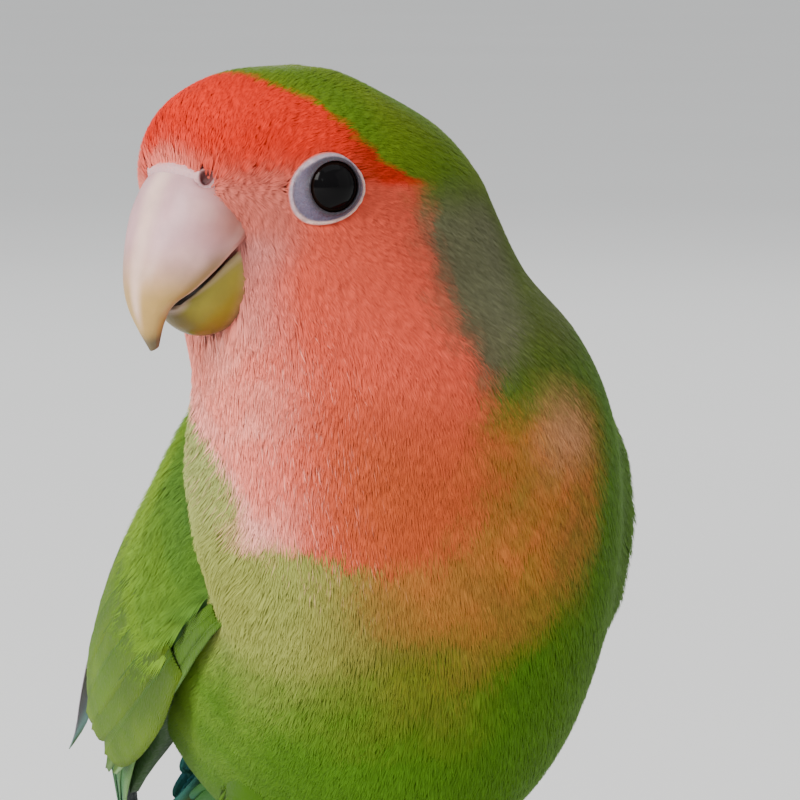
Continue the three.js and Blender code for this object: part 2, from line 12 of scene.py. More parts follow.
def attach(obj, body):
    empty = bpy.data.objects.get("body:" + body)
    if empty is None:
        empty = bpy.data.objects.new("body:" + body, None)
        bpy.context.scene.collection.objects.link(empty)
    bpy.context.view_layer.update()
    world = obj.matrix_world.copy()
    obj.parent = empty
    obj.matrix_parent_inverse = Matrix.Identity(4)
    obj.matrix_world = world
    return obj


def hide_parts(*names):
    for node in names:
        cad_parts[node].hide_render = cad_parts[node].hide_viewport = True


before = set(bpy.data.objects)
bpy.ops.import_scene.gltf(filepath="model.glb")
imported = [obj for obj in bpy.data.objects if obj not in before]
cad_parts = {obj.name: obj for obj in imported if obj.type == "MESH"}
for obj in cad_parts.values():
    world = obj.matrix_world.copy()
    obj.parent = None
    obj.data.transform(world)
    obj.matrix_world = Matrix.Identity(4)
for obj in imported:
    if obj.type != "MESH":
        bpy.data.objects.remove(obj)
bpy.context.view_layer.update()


# The bird's skin: one closed surface from the root of the tail over breast, neck and head to the crown.
# It is thin, and hidden under the plumage. Its sections are half ellipses in front and behind, swept up
# a curved spine and turned with the neck, and it lies inside the solids by the depth of the coat.
MM = 0.001
FOOTPRINT = np.array([-3.4, 32.0, 0.0])
SPINE = np.array(
    [
        # x, y, z, pitch, turn, half width, depth in front, depth behind
        [0, 48.4, 33.4, 30, 0, 5.4, 5, 3.6],
        [0, 40.5, 39.5, 32, 0, 13.5, 17, 9],
        [0, 31.5, 45.5, 35, 0, 18.3, 26.5, 12.5],
        [0, 20, 52, 39, 0, 20.6, 32, 16.5],
        [0, 8.5, 58.5, 45, 0, 21, 32, 19.5],
        [-0.3, -0.5, 66.5, 54, 3, 20.7, 26.5, 20.5],
        [-2.2, -4, 74, 66, 16, 20.6, 19.8, 21],
        [-5.2, -3.6, 81, 80, 42, 19.6, 17, 20.8],
        [-9.1, -1.3, 86.5, 88, 62, 16.8, 15, 21.2],
        [-10.9, -0.4, 91.3, 90, 68, 15.2, 15.8, 20.8],
        [-11.8, -0.5, 96, 90, 68, 14, 17.4, 19.3],
        [-12.4, -0.7, 100.5, 90, 68, 12.3, 16.4, 15],
        [-12.8, -0.8, 104, 90, 68, 9.3, 13.2, 8.6],
        [-13.2, -0.9, 106.3, 90, 68, 5, 7.5, 3.8],
        [-13.3, -0.9, 106.9, 90, 68, 0, 0, 0],
    ]
)
CROWN = len(SPINE) - 1
COAT_DEPTH = ([0, 5, 8, CROWN], [1.5, 1.5, 1.0, 0.7])


def between(table, u):
    """Catmull-Rom through the rows of a table, which goes on past each end as its image in the end row.

    It is b + t/2 * (c - a + t * (2a - 5b + 4c - d + t * (3b - 3c + d - a))) from row b to row c. Past the
    crown the spine's radii turn negative in that image, which closes the top of the head round.
    """
    last = len(table) - 1
    u = np.asarray(u, float)
    i = np.clip(np.floor(u).astype(int), 0, last - 1)
    t = (u - i)[..., None]

    def row(k):
        """Row k of the table, or its image in the first or the last row."""
        low, high = (k < 0)[..., None], (k > last)[..., None]
        inside = table[np.where(k < 0, -k, np.where(k > last, 2 * last - k, k))]
        return np.where(low, 2 * table[0] - inside, np.where(high, 2 * table[last] - inside, inside))

    a, b, c, d = row(i - 1), row(i), row(i + 1), row(i + 2)
    return b + 0.5 * t * (c - a + t * (2 * a - 5 * b + 4 * c - d + t * (3 * (b - c) + d - a)))


def on_body(u, around, lift=0.0):
    """Middle + left * half width * cos + front * depth * sin, with left and front turned by the neck.

    Around is in radians from the body's left towards its front, and lift adds to each radius.
    """
    s = between(SPINE, u)
    pitch, turn = np.radians(s[..., 3]), np.radians(s[..., 4])
    none = np.zeros_like(pitch)
    across = np.stack([none + 1, none, none], -1)
    ahead = np.stack([none, -np.sin(pitch), -np.cos(pitch)], -1)
    front = ahead * np.cos(turn)[..., None] - across * np.sin(turn)[..., None]
    left = across * np.cos(turn)[..., None] + ahead * np.sin(turn)[..., None]
    c, sn = np.cos(around - turn), np.sin(around - turn)
    half = np.maximum(s[..., 5] + lift, 0) * c
    depth = np.maximum(np.where(sn > 0, s[..., 6], s[..., 7]) + lift, 0) * sn
    return s[..., :3] + left * half[..., None] + front * depth[..., None] - FOOTPRINT


def coat_depth(u):
    """How far the skin lies below the solids at a station, where the feathers fill the room between."""
    return np.interp(u, *COAT_DEPTH)


def unit(v):
    """Each vector over its own length."""
    return v / np.maximum(np.linalg.norm(v, axis=-1, keepdims=True), 1e-9)


def sheet_quads(rows, cols, closed=False):
    """Quads of a grid whose point (i, j) has number i * cols + j. A closed one joins its last column."""
    i, j = np.meshgrid(np.arange(rows - 1), np.arange(cols if closed else cols - 1), indexing="ij")
    a, b = i * cols + j, i * cols + (j + 1) % cols
    return np.stack([a, b, b + cols, a + cols], -1).reshape(-1, 4)


def new_piece(name, points, faces, material, colours=None, patch=None, outs=None):
    """One mesh object at the origin from points in millimetres and faces of three or four corners each.

    Colours go to the point attribute plumage, patch to the UV map OFBake and outs to the normals.
    """
    mesh = bpy.data.meshes.new(name)
    points = points.reshape(-1, 3)
    count, corners = faces.shape
    mesh.vertices.add(len(points))
    mesh.vertices.foreach_set("co", (points * MM).astype(np.float32).ravel())
    mesh.loops.add(count * corners)
    mesh.loops.foreach_set("vertex_index", faces.astype(np.int32).ravel())
    mesh.polygons.add(count)
    mesh.polygons.foreach_set("loop_start", np.arange(0, count * corners, corners, dtype=np.int32))
    mesh.polygons.foreach_set("use_smooth", np.ones(count, bool))
    mesh.update(calc_edges=True)
    if colours is not None:
        shown = mesh.color_attributes.new(name="plumage", type="FLOAT_COLOR", domain="POINT")
        rgba = np.concatenate([colours.reshape(-1, 3), np.ones((len(points), 1))], 1)
        shown.data.foreach_set("color", rgba.astype(np.float32).ravel())
    if patch is not None:
        layer = mesh.uv_layers.new(name="OFBake")
        layer.uv.foreach_set("vector", patch.reshape(-1, 2)[faces.ravel()].astype(np.float32).ravel())
    if outs is not None:
        bent = mesh.attributes.new("custom_normal", "FLOAT_VECTOR", "POINT")
        bent.data.foreach_set("vector", outs.reshape(-1, 3).astype(np.float32).ravel())
    mesh.materials.append(material)
    made = bpy.data.objects.new(name, mesh)
    bpy.context.scene.collection.objects.link(made)
    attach(made, "root")
    return made


def paint(red, green, blue):
    """A colour as it shows on a screen, 0 to 255, turned into the light that it reflects."""
    shown = np.array([red, green, blue]) / 255
    return np.where(shown > 0.04045, ((shown + 0.055) / 1.055) ** 2.4, shown / 12.92)


def step_up(x, start, end):
    """0 before start, 1 after end, and 3t^2 - 2t^3 between them."""
    t = np.clip((x - start) / (end - start), 0, 1)
    return t * t * (3 - 2 * t)


def towards(colour, other, share):
    """Colour + (other - colour) * share, with one share for each colour."""
    return colour + (other - colour) * np.asarray(share)[..., None]


# The markings, which skin and feathers share: a red forehead, coral cheeks and a pink bib, an olive-grey
# band behind the cheek, a green crown, ochre and pale patches low on the breast, a green body and a
# blue rump. Edges are lines over the surface, softened and broken up by small sine waves.
HEAD_TURN = np.radians(68.0)
HEAD_MIDDLE = np.array([-15.2, -2.0, 96.0]) - FOOTPRINT
HEAD_AHEAD = np.array([-np.sin(HEAD_TURN), -np.cos(HEAD_TURN), 0.0])
HEAD_LEFT = np.array([np.cos(HEAD_TURN), -np.sin(HEAD_TURN), 0.0])
UP = np.array([0.0, 0.0, 1.0])
FOREHEAD = paint(212, 36, 8)
CORAL = paint(202, 76, 55)
ROSE = paint(255, 138, 120)
PALE_PINK = paint(255, 178, 164)
RUST = paint(168, 74, 32)
BROW = paint(150, 30, 2)
LORE = paint(188, 104, 92)
GAPE_PINK = paint(198, 142, 138)
GREY_BAND = paint(96, 96, 70)
BROWN_BAND = paint(86, 80, 60)
OLIVE_TAN = paint(120, 92, 34)
CROWN_GREEN = paint(78, 108, 8)
CROWN_LIGHT = paint(92, 112, 8)
NAPE = paint(74, 88, 14)
BACK_GREEN = paint(72, 106, 18)
BELLY_GREEN = paint(66, 106, 4)
BELLY_LIGHT = paint(126, 158, 54)
PALE_BREAST = paint(142, 146, 70)
SAGE = paint(160, 168, 96)
OCHRE = paint(178, 100, 44)
SAND = paint(196, 134, 94)
RUMP_BLUE = paint(70, 150, 170)
# The bib's two edges as degrees round the body at stations of the spine. It reaches lowest at 165.
BIB_LEFT = np.array(
    [
        [4.95, 5.15, 5.3, 5.4, 5.45, 5.5, 5.55, 5.65, 5.75, 5.9, 6.1, 6.8, 7.2, 7.5, 7.85, 8.3, 9.25, 10.1],
        [165, 160, 154, 147, 139, 130, 117, 107, 99, 93, 87, 83, 82, 80, 77, 72, 66, 61],
    ]
)
BIB_RIGHT = np.array(
    [
        [4.95, 5.1, 5.5, 5.65, 5.85, 6.1, 6.5, 7.3, 8.2, 9.6, 10.1],
        [161, 163, 166, 178, 196, 206, 214, 222, 234, 246, 256],
    ]
)
# The outer edge of the grey band behind the cheek, and the lower edges of the pale breast and of the
# ochre patch.
BAND_EDGE = ([6.8, 6.95, 7.25, 7.6, 8.1, 8.85, 9.7], [80, 76, 61, 45, 34, 24, 24])
BREAST_EDGE = (
    [80, 93, 106, 120, 133, 145, 159, 170, 200, 220],
    [5.3, 5.1, 5.1, 4.9, 4.7, 4.35, 4.1, 4.0, 4.1, 4.8],
)
OCHRE_EDGE = (
    [36, 42, 48, 57, 68, 80, 92, 103, 113, 130],
    [6.3, 6.0, 5.75, 5.55, 5.42, 5.33, 5.25, 5.3, 5.4, 5.6],
)
# The edge between the hood and the green crown: how far ahead it lies at heights above the eye.
HOOD_HEIGHTS = [0, 1, 2.5, 5, 6.6, 8.2, 9.5, 11]
HOOD_AHEAD = [-7, -4.5, -1.3, 0.7, 1.9, 3.6, 5.2, 5.6]


def in_head(place):
    """How far a place lies ahead of the head's middle, to its left, and above the eyes."""
    away = place - HEAD_MIDDLE
    return away @ HEAD_AHEAD, away @ HEAD_LEFT, away[..., 2]


def mottle(place, size):
    """Soft patches from -1 to 1: two sines of the place over the size, each bent by another sine."""
    x, y, z = np.moveaxis(place / size, -1, 0)
    first = np.sin(2.1 * x + 1.3 * np.sin(1.7 * z) + 0.9 * y)
    return 0.5 * first + 0.5 * np.sin(2.3 * z + 1.5 * np.sin(1.9 * y + 1.1 * x) - 0.7 * x)


def plumage(u, around, place):
    """The colour of the plumage at a place of the body, each marking laid over the ones before it."""
    deg = np.degrees(around) % 360
    ahead, left, high = in_head(place)
    wave, ripple = mottle(place, 4.0), mottle(place, 1.3)
    # The green body, lighter on the belly, darker behind, with the blue rump.
    behind = step_up(-np.sin(around), -0.25, 0.45)
    below = step_up(deg, 125, 165) * step_up(u, 1, 3.2)
    colour = towards(BELLY_GREEN, BELLY_LIGHT, (0.35 + 0.25 * wave) * below)
    colour = towards(colour, BACK_GREEN, np.maximum(behind, step_up(-deg, -85, -50) * 0.6))
    colour = towards(colour, RUMP_BLUE, behind * step_up(-u, -1.5, -0.6))
    # The pale breast, olive towards the left and sage towards the right.
    above = u - np.interp(deg, *BREAST_EDGE) + 0.12 * wave + 0.05 * ripple
    lit = step_up(above, -0.9, 0.45) * step_up(deg, 74, 104) * (1 - step_up(deg, 222, 240))
    breast = towards(OLIVE_TAN, PALE_BREAST, step_up(deg, 108, 150))
    breast = towards(breast, SAGE, step_up(deg, 158, 182) * step_up(u, 4.3, 5.2))
    colour = towards(colour, breast, 0.92 * lit)
    # The ochre patch by the shoulder, with its sandy upper corner.
    over = u - np.interp(deg, *OCHRE_EDGE) + 0.14 * wave
    warm = step_up(over, -0.5, 0.3) * (1 - step_up(u, 6.45, 7.0))
    warm = warm * step_up(deg, 26, 56) * (1 - step_up(deg, 112, 144))
    colour = towards(colour, towards(OCHRE, OLIVE_TAN, 0.25 + 0.35 * wave), warm * (0.85 + 0.15 * ripple))
    tan = step_up(u, 6.0, 6.5) * (1 - step_up(u, 6.6, 7.2)) * step_up(deg, 38, 54)
    colour = towards(colour, SAND, 0.8 * tan * (1 - step_up(deg, 54, 76)))
    # The green nape, the grey band behind the cheek on both sides, and the crown.
    neck = step_up(u + 0.1 * wave, 6.4, 7.5)
    colour = towards(colour, NAPE, neck * (1 - 0.85 * step_up(-np.sin(around), -0.3, 0.5)))
    bib_left, bib_right = np.interp(u, *BIB_LEFT), np.interp(u, *BIB_RIGHT)
    band_left = np.interp(u, *BAND_EDGE)
    band_right = bib_right + 0.8 * (bib_left - band_left)
    band = step_up(deg - band_left, -10, 12) * step_up(band_right - deg, -10, 12)
    grey = towards(GREY_BAND, BROWN_BAND, step_up(deg, bib_left - 24, bib_left) * (1 - step_up(u, 8.6, 9.4)))
    band = band * step_up(u + 0.1 * wave, 6.5, 7.2) * (1 - step_up(high + 0.4 * ripple, -3.0, 2.0))
    colour = towards(colour, grey, 0.9 * band)
    top = step_up(high + 0.6 * wave, -4.0, 3.0)
    colour = towards(colour, towards(CROWN_GREEN, CROWN_LIGHT, 0.5 + 0.5 * wave), top)
    # Where the mask of face and bib lies: the bib between its two edges, and the hood above the eyes.
    edge = np.interp(u, [5.2, 5.7, 6.2, 6.9, 8, 9.6], [4, 8, 13, 9, 10, 9])
    shift = 2.0 * ripple + 2.0 * wave
    bib = step_up((deg - bib_left + shift) / edge, -1, 1)
    bib = bib * step_up((bib_right - deg + shift) / 4, -1, 1) * step_up(u + 0.05 * ripple, 4.9, 5.14)
    hood = step_up(ahead - np.interp(high, HOOD_HEIGHTS, HOOD_AHEAD) + 0.35 * ripple, -0.7, 0.7)
    mask = bib + (hood - bib) * step_up(high, -0.3, 0.9)
    # The mask's colours: coral and rose in front and rusty low on the left, its own; pale pink patches in
    # front and a pale pink rim along the bib's right edge, painted highlight.
    front = step_up(deg, 125, 172) * (1 - step_up(deg, 205, 250))
    face = towards(CORAL, ROSE, front)
    low_bib = step_up(-u, -7.4, -6.0) * (1 - step_up(deg, 112, 150))
    face = towards(face, RUST, 0.85 * low_bib)
    # Painted highlight: pale pink patches on the front of the throat.
    patchy = step_up(wave + 0.4 * ripple, -0.2, 0.8) * step_up(-u, -8.8, -7.6)
    face = towards(face, PALE_PINK, 0.35 * front * patchy)
    # Painted highlight: a pale pink rim along the bib's right edge and over its lowest lobe.
    lobe = step_up(u, 5.0, 5.15) * (1 - step_up(u, 5.3, 5.6))
    rim = step_up(deg - bib_right, -14, -4) * step_up(-u, -6.4, -5.9)
    rim = np.maximum(rim, lobe * step_up(deg, 140, 160))
    face = towards(face, PALE_PINK, 0.6 * rim)
    # By the bill: the paler lore and the skin below the gape.
    bridge = step_up(ahead, 4.5, 8.5) * (1 - step_up(high, -0.5, 4.0))
    face = towards(face, LORE, 0.7 * bridge * step_up(high, -8, -3))
    gape = step_up(ahead, 6.0, 9.5) * step_up(-high, 3.0, 6.0) * (1 - step_up(-high, 12, 16))
    face = towards(face, GAPE_PINK, 0.5 * gape)
    # Above the eyes: the red forehead, the dark brow behind the eye, and the pale tuft over the bill.
    red = step_up(high + 0.4 * ripple, -1.0, 4.2)
    streak = step_up(high, -0.4, 0.5) * step_up(-ahead, -0.5, 1.5)
    face = towards(face, FOREHEAD, np.maximum(red, streak))
    brow = step_up(-ahead, -3.2, 0.5) * step_up(high, -0.2, 0.8) * (1 - step_up(high, 4.5, 7.0))
    face = towards(face, BROW, 0.8 * brow)
    pale = step_up(ahead, 9.0, 12.6) * (1 - step_up(high + 0.5 * ripple, 1.0, 5.5)) * step_up(high, -3, 0)
    face = towards(face, ROSE, 0.7 * pale * (1 - step_up(np.abs(left), 0.6, 4.2)))
    return towards(colour, face, mask)


def fill(tree, node, *ordered, **named):
    """Sets a node's inputs, in order or by name, to the numbers given, or links them to the sockets given.

    A low bar in a name stands for a space.
    """
    given = [(node.inputs[k], value) for k, value in enumerate(ordered)]
    given += [(node.inputs[name.replace("_", " ")], value) for name, value in named.items()]
    for socket, value in given:
        if isinstance(value, bpy.types.NodeSocket):
            tree.links.new(value, socket)
        else:
            socket.default_value = value
    return node


def add_node(tree, kind, *ordered, operation=None, group=None, **named):
    """A new node of a tree, with its operation or its group, and its inputs filled."""
    node = tree.nodes.new("ShaderNode" + kind)
    if operation:
        node.operation = operation
    if group:
        node.node_tree = group
    return fill(tree, node, *ordered, **named)


def noted(tree, name, output="Color"):
    """The output of a node that reads one of the piece's own attributes."""
    node = tree.nodes.new("ShaderNodeAttribute")
    node.attribute_name = name
    return node.outputs[output]


def new_group(name, takes, gives):
    """A node group and its two ends. Each socket is a name, a kind and, where it has one, a usual value."""
    group = bpy.data.node_groups.new(name, "ShaderNodeTree")
    for socket, kind, *value in takes:
        made = group.interface.new_socket(socket, in_out="INPUT", socket_type="NodeSocket" + kind)
        if value:
            made.default_value = value[0]
    for socket, kind in gives:
        group.interface.new_socket(socket, in_out="OUTPUT", socket_type="NodeSocket" + kind)
    return group, group.nodes.new("NodeGroupInput"), group.nodes.new("NodeGroupOutput")


def new_material(name):
    """A material, its node tree and its shader."""
    material = bpy.data.materials.new(name)
    material.use_nodes = True
    tree = material.node_tree
    return material, tree, tree.nodes["Principled BSDF"]


def tone_group():
    """Feather grain: the colour times 1 plus a share of two noises, a fine one and a broad one."""
    takes = [
        ("Colour", "Color"),
        ("Fine size", "Float", 2500.0),
        ("Broad size", "Float", 160.0),
        ("Share", "Float", 0.18),
    ]
    group, given, result = new_group("feather_tone", takes, [("Colour", "Color"), ("Roughness", "Float")])
    place = add_node(group, "TexCoord").outputs["Object"]
    fine, broad = (
        add_node(group, "TexNoise", Vector=place, Scale=given.outputs[size], Detail=2.0).outputs["Fac"]
        for size in ("Fine size", "Broad size")
    )
    both = add_node(group, "Math", fine, broad, operation="ADD").outputs[0]
    middle = add_node(group, "Math", both, 1.0, operation="SUBTRACT").outputs[0]
    tone = add_node(group, "Math", middle, given.outputs["Share"], 1.0, operation="MULTIPLY_ADD").outputs[0]
    scaled = add_node(group, "VectorMath", given.outputs["Colour"], operation="SCALE", Scale=tone)
    rough = add_node(group, "MapRange", fine, From_Min=0.35, From_Max=0.65, To_Min=0.55, To_Max=0.8)
    fill(group, result, Colour=scaled.outputs[0], Roughness=rough.outputs["Result"])
    return group


FEATHER_TONE = tone_group()


def feather_material(name, share, sheen, fine=2500.0):
    """A finish that takes the plumage attribute through the grain, with a soft sheen at its edges."""
    material, tree, shader = new_material(name)
    grain = add_node(tree, "Group", group=FEATHER_TONE, Colour=noted(tree, "plumage"), Share=share)
    fill(tree, grain, Fine_size=fine)
    fill(tree, shader, Base_Color=grain.outputs["Colour"], Roughness=grain.outputs["Roughness"])
    fill(tree, shader, Sheen_Weight=sheen, Sheen_Roughness=0.45, Specular_IOR_Level=0.12)
    return material


FLESH_FINISH = feather_material("skin_and_down", 0.25, 0.05)
SKIN_ROWS, SKIN_COLS = 150, 120


def skin():
    """The swept surface at the coat's depth below the solids, with a point at each end to close it."""
    u, around = np.meshgrid(
        np.linspace(0, CROWN, SKIN_ROWS), 2 * np.pi * np.arange(SKIN_COLS) / SKIN_COLS, indexing="ij"
    )
    grid = on_body(u, around, -coat_depth(u))
    ends = np.stack([grid[0].mean(0), grid[-1].mean(0)])
    points = np.concatenate([grid.reshape(-1, 3), ends])
    quads = sheet_quads(SKIN_ROWS, SKIN_COLS, closed=True)[:, ::-1]
    ring = np.arange(SKIN_COLS)
    after = (ring + 1) % SKIN_COLS
    low, high = len(points) - 2, len(points) - 1
    top = (SKIN_ROWS - 1) * SKIN_COLS
    caps = np.concatenate(
        [
            np.stack([ring, after, np.full_like(ring, low)], -1),
            np.stack([top + after, top + ring, np.full_like(ring, high)], -1),
        ]
    )
    triangles = np.concatenate([quads[:, [0, 1, 2]], quads[:, [0, 2, 3]], caps])
    colours = plumage(u, around, grid).reshape(-1, 3) * 0.85
    colours = np.concatenate([colours, colours[[0, -1]]])
    patch = np.stack([around / (2 * np.pi), u / CROWN], -1).reshape(-1, 2)
    patch = np.concatenate([patch, [[0.5, 0.0], [0.5, 1.0]]])
    made = new_piece("skin", points, triangles, FLESH_FINISH, colours, patch)
    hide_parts("torso", "neck", "head")


skin()


# The bill: two hollow sheaths of smooth horn, pinkish ivory above and olive yellow below, which grow
# out of the skull. The lower one closes inside the upper one. Each is a row of half-round sections
# between its two cutting edges, closed by a hollowed palate.
UPPER_BILL = np.array(
    [
        # ridge ahead and up, cutting edge ahead and up, half width
        [13.4, 1.8, 8, -1, 5.4],
        [14.8, 0.4, 8.4, -3.2, 6.3],
        [16, -2.1, 9.6, -4.9, 6.7],
        [16.9, -4.9, 10.9, -6.3, 6.2],
        [17.6, -7.6, 12.2, -8, 5.3],
        [17.9, -10, 13.9, -9.9, 4.1],
        [17.6, -12.2, 15.3, -11.3, 2.8],
        [16.9, -14.1, 15.5, -13.1, 1.6],
        [15.9, -15.9, 15.3, -15.5, 0.5],
    ]
)
LOWER_BILL = np.array(
    [
        [4.6, -13, 6.4, -4.2, 6],
        [7.6, -14.5, 8.4, -5.4, 5.9],
        [10.2, -14.8, 10.2, -7, 5.2],
        [12.1, -14.1, 11.7, -8.8, 4.3],
        [13.3, -12.9, 12.9, -10.4, 3.1],
        [13.8, -12.1, 13.6, -11.5, 1.8],
    ]
)
PALATE_HOLLOW = 0.24
MOUTH_FROM = 1.02
HORN_PINK = paint(200, 156, 160)
HORN_CREAM = paint(230, 196, 180)
HORN_TAN = paint(176, 142, 80)
HORN_GAPE = paint(164, 100, 86)
HORN_EDGE = paint(118, 102, 44)
HORN_TIP = paint(70, 66, 54)
LOWER_YELLOW = paint(138, 126, 32)
LOWER_OLIVE = paint(100, 82, 0)
LOWER_MAUVE = paint(190, 140, 132)
MOUTH_PAINTED_SHADE = paint(46, 38, 28)
NOSTRIL_PAINTED_SHADE = paint(72, 14, 16)
# The nostrils' place on the bill's surface, and how far the horn is pushed in under them.
NOSTRIL_ALONG, NOSTRIL_AROUND = 0.3, 0.25
HORN_UNDER_NOSTRIL = 0.9


def head_point(ahead, left, high):
    """A point from its distances ahead of the head's middle, to its left and above the eyes."""
    ahead, left, high = (np.asarray(x, float)[..., None] for x in (ahead, left, high))
    return HEAD_MIDDLE + HEAD_AHEAD * ahead + HEAD_LEFT * left + UP * high


BILL_HEART = head_point(8.0, 0.0, -2.0)


def bill_surface(table, u, over):
    """The arc edge + half * cos + rise * sin^0.9 for over from 0 to 1, and the hollow palate from 1 to 2."""
    ridge_ahead, ridge_high, edge_ahead, edge_high, half = np.moveaxis(between(table, u), -1, 0)
    angle = np.pi * np.clip(over, 0, 1)
    back = 2 * np.clip(over - 1, 0, 1) - 1
    on_arc = over <= 1
    left = np.where(on_arc, np.cos(angle), back) * half
    rise = np.where(on_arc, np.maximum(np.sin(angle), 0) ** 0.9, PALATE_HOLLOW * (1 - back**2))
    ahead = edge_ahead + (ridge_ahead - edge_ahead) * rise
    return head_point(ahead, left, edge_high + (ridge_high - edge_high) * rise)


def horn_material(name, roughness, depth):
    """Smooth horn: the attribute's colour in faint layers, under a thin gloss with fine growth lines."""
    material, tree, shader = new_material(name)
    place = add_node(tree, "TexCoord").outputs["Object"]
    cloud = add_node(tree, "TexNoise", Vector=place, Scale=420.0, Detail=4.0).outputs["Fac"]
    tone = add_node(tree, "MapRange", cloud, From_Min=0.3, From_Max=0.7, To_Min=0.9, To_Max=1.06)
    colour = add_node(tree, "VectorMath", noted(tree, "plumage"), operation="SCALE", Scale=tone.outputs[0])
    rough = add_node(tree, "MapRange", cloud, To_Min=roughness - 0.08, To_Max=roughness + 0.1)
    lines = add_node(tree, "TexNoise", Vector=noted(tree, "growth", "Vector"), Scale=1.0, Detail=3.0)
    bump = add_node(tree, "Bump", Strength=depth, Distance=0.0002, Height=lines.outputs["Fac"])
    fill(tree, shader, Base_Color=colour.outputs[0], Roughness=rough.outputs[0], Normal=bump.outputs[0])
    fill(tree, shader, Subsurface_Weight=0.12, Subsurface_Radius=(0.9, 0.5, 0.35), Subsurface_Scale=0.0008)
    fill(tree, shader, Specular_IOR_Level=0.18, Coat_Weight=0.22, Coat_Roughness=0.22)
    return material


HORN = horn_material("bill_horn", 0.36, 0.35)


def note_vectors(made, name, vectors):
    """Keeps a vector for each point of a piece as an attribute that its material reads."""
    kept = made.data.attributes.new(name, "FLOAT_VECTOR", "POINT")
    kept.data.foreach_set("vector", vectors.reshape(-1, 3).astype(np.float32).ravel())


def closed_tube(grid):
    """Points and triangles of a grid of closed rings, with a fan to the middle of each end ring."""
    rows, cols = grid.shape[:2]
    points = np.concatenate([grid.reshape(-1, 3), [grid[0].mean(0), grid[-1].mean(0)]])
    quads = sheet_quads(rows, cols, closed=True)
    ring = np.arange(cols)
    after = (ring + 1) % cols
    low, high, top = len(points) - 2, len(points) - 1, (rows - 1) * cols
    first = np.stack([after, ring, np.full_like(ring, low)], -1)
    final = np.stack([top + ring, top + after, np.full_like(ring, high)], -1)
    return points, np.concatenate([quads[:, [0, 1, 2]], quads[:, [0, 2, 3]], first, final])


def facing_out(points, faces):
    """The faces as they are if they enclose a positive volume, or else turned round."""
    a, b, c = (points[faces[:, k]] for k in range(3))
    inside_out = np.sum(np.cross(a, b) * c) < 0
    return faces[:, ::-1] if inside_out else faces


def tube_piece(name, grid, material, colours, noted_as=None, vectors=None):
    """A closed tube as a piece, whose two end points take the colour and vector of the nearest corner."""
    points, faces = closed_tube(grid)
    colours = np.broadcast_to(colours, grid.shape).reshape(-1, 3)
    colours = np.concatenate([colours, colours[[0, -1]]])
    made = new_piece(name, points, facing_out(points, faces), material, colours)
    if noted_as:
        vectors = vectors.reshape(-1, 3)
        note_vectors(made, noted_as, np.concatenate([vectors, vectors[[0, -1]]]))
    return made


def nostril_near(places, inner, outer):
    """1 within the inner distance of either nostril's middle, and 0 beyond the outer one."""
    near = np.zeros(places.shape[:-1])
    for middle in (NOSTRIL_AROUND, 1 - NOSTRIL_AROUND):
        pit = bill_surface(UPPER_BILL, np.array(NOSTRIL_ALONG), np.array(middle))
        near = np.maximum(near, 1 - step_up(np.linalg.norm(places - pit, axis=-1), inner, outer))
    return near


def bill(name, table, rows, node, colour_of):
    """One half of the bill, its rings close together near the tip, pushed in under each nostril."""
    last = len(table) - 1
    u = last * np.linspace(0, 1, rows) ** 0.85
    over = np.concatenate([np.linspace(0, 1, 49), np.linspace(1, 2, 17)[1:-1]])
    u, over = np.meshgrid(u, over, indexing="ij")
    grid = bill_surface(table, u, over)
    colours = colour_of(u / last, over, grid)
    grid = grid + unit(BILL_HEART - grid) * (HORN_UNDER_NOSTRIL * nostril_near(grid, 0.6, 1.1))[..., None]
    growth = np.stack([1.2 * u, 9.0 * over, 0 * u], -1)
    made = tube_piece(name, grid, HORN, colours, "growth", growth)
    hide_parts(node)


def upper_colour(share, over, place):
    """Lilac pink at the root, cream on the ridge, tan lower down, olive at the edges, grey at the tip."""
    edge = np.abs(over - 0.5) * 2
    cloud = mottle(place, 1.6)
    colour = towards(HORN_PINK, HORN_TAN, step_up(share, 0.35, 0.7))
    ridge = (1 - step_up(edge, 0.0, 0.2)) * (1 - step_up(share, 0.7, 0.9))
    colour = towards(colour, HORN_CREAM, 0.75 * ridge)
    colour = towards(colour, HORN_GAPE, 0.9 * step_up(edge, 0.3, 0.9) * (1 - step_up(share, 0.2, 0.55)))
    colour = towards(colour, LORE, 0.8 * step_up(edge, 0.3, 0.7) * (1 - step_up(share, 0.03, 0.14)))
    colour = towards(colour, HORN_EDGE, 0.85 * step_up(edge, 0.72, 1.0) * step_up(share, 0.3, 0.5))
    colour = towards(colour, HORN_CREAM, 0.6 * step_up(edge, 0.95, 0.99) * step_up(share, 0.3, 0.4))
    colour = towards(colour, HORN_CREAM, 0.12 * step_up(cloud, 0.0, 0.8))
    colour = towards(colour, HORN_TIP, 0.85 * step_up(share + 0.03 * cloud, 0.84, 0.95))
    # The nostrils' pits are painted dark red, as painted shade in the holes.
    colour = towards(colour, NOSTRIL_PAINTED_SHADE, nostril_near(place, 0.55, 1.0))
    # The palate inside is painted dark, as painted shade in the gap between the bill's halves.
    return towards(colour, MOUTH_PAINTED_SHADE, 0.9 * (over > MOUTH_FROM))


def lower_colour(share, over, _):
    """Olive yellow, mauve at the root, pinkish at the tip, with a pale cutting edge, and the mouth inside
    painted dark as painted shade.
    """
    edge = np.abs(over - 0.5) * 2
    colour = towards(LOWER_OLIVE, LOWER_YELLOW, step_up(edge, 0.15, 0.7))
    colour = towards(colour, LOWER_MAUVE, 0.8 * (1 - step_up(share, 0.08, 0.36)))
    colour = towards(colour, HORN_CREAM, 0.6 * step_up(share, 0.8, 1.0))
    colour = towards(colour, HORN_CREAM, 0.4 * step_up(edge, 0.9, 1.0))
    # The mouth inside is painted dark, as painted shade in the gap between the halves.
    return towards(colour, MOUTH_PAINTED_SHADE, 0.95 * (over > MOUTH_FROM))


bill("bill_above", UPPER_BILL, 90, "beak_upper", upper_colour)
bill("bill_below", LOWER_BILL, 60, "beak_lower", lower_colour)
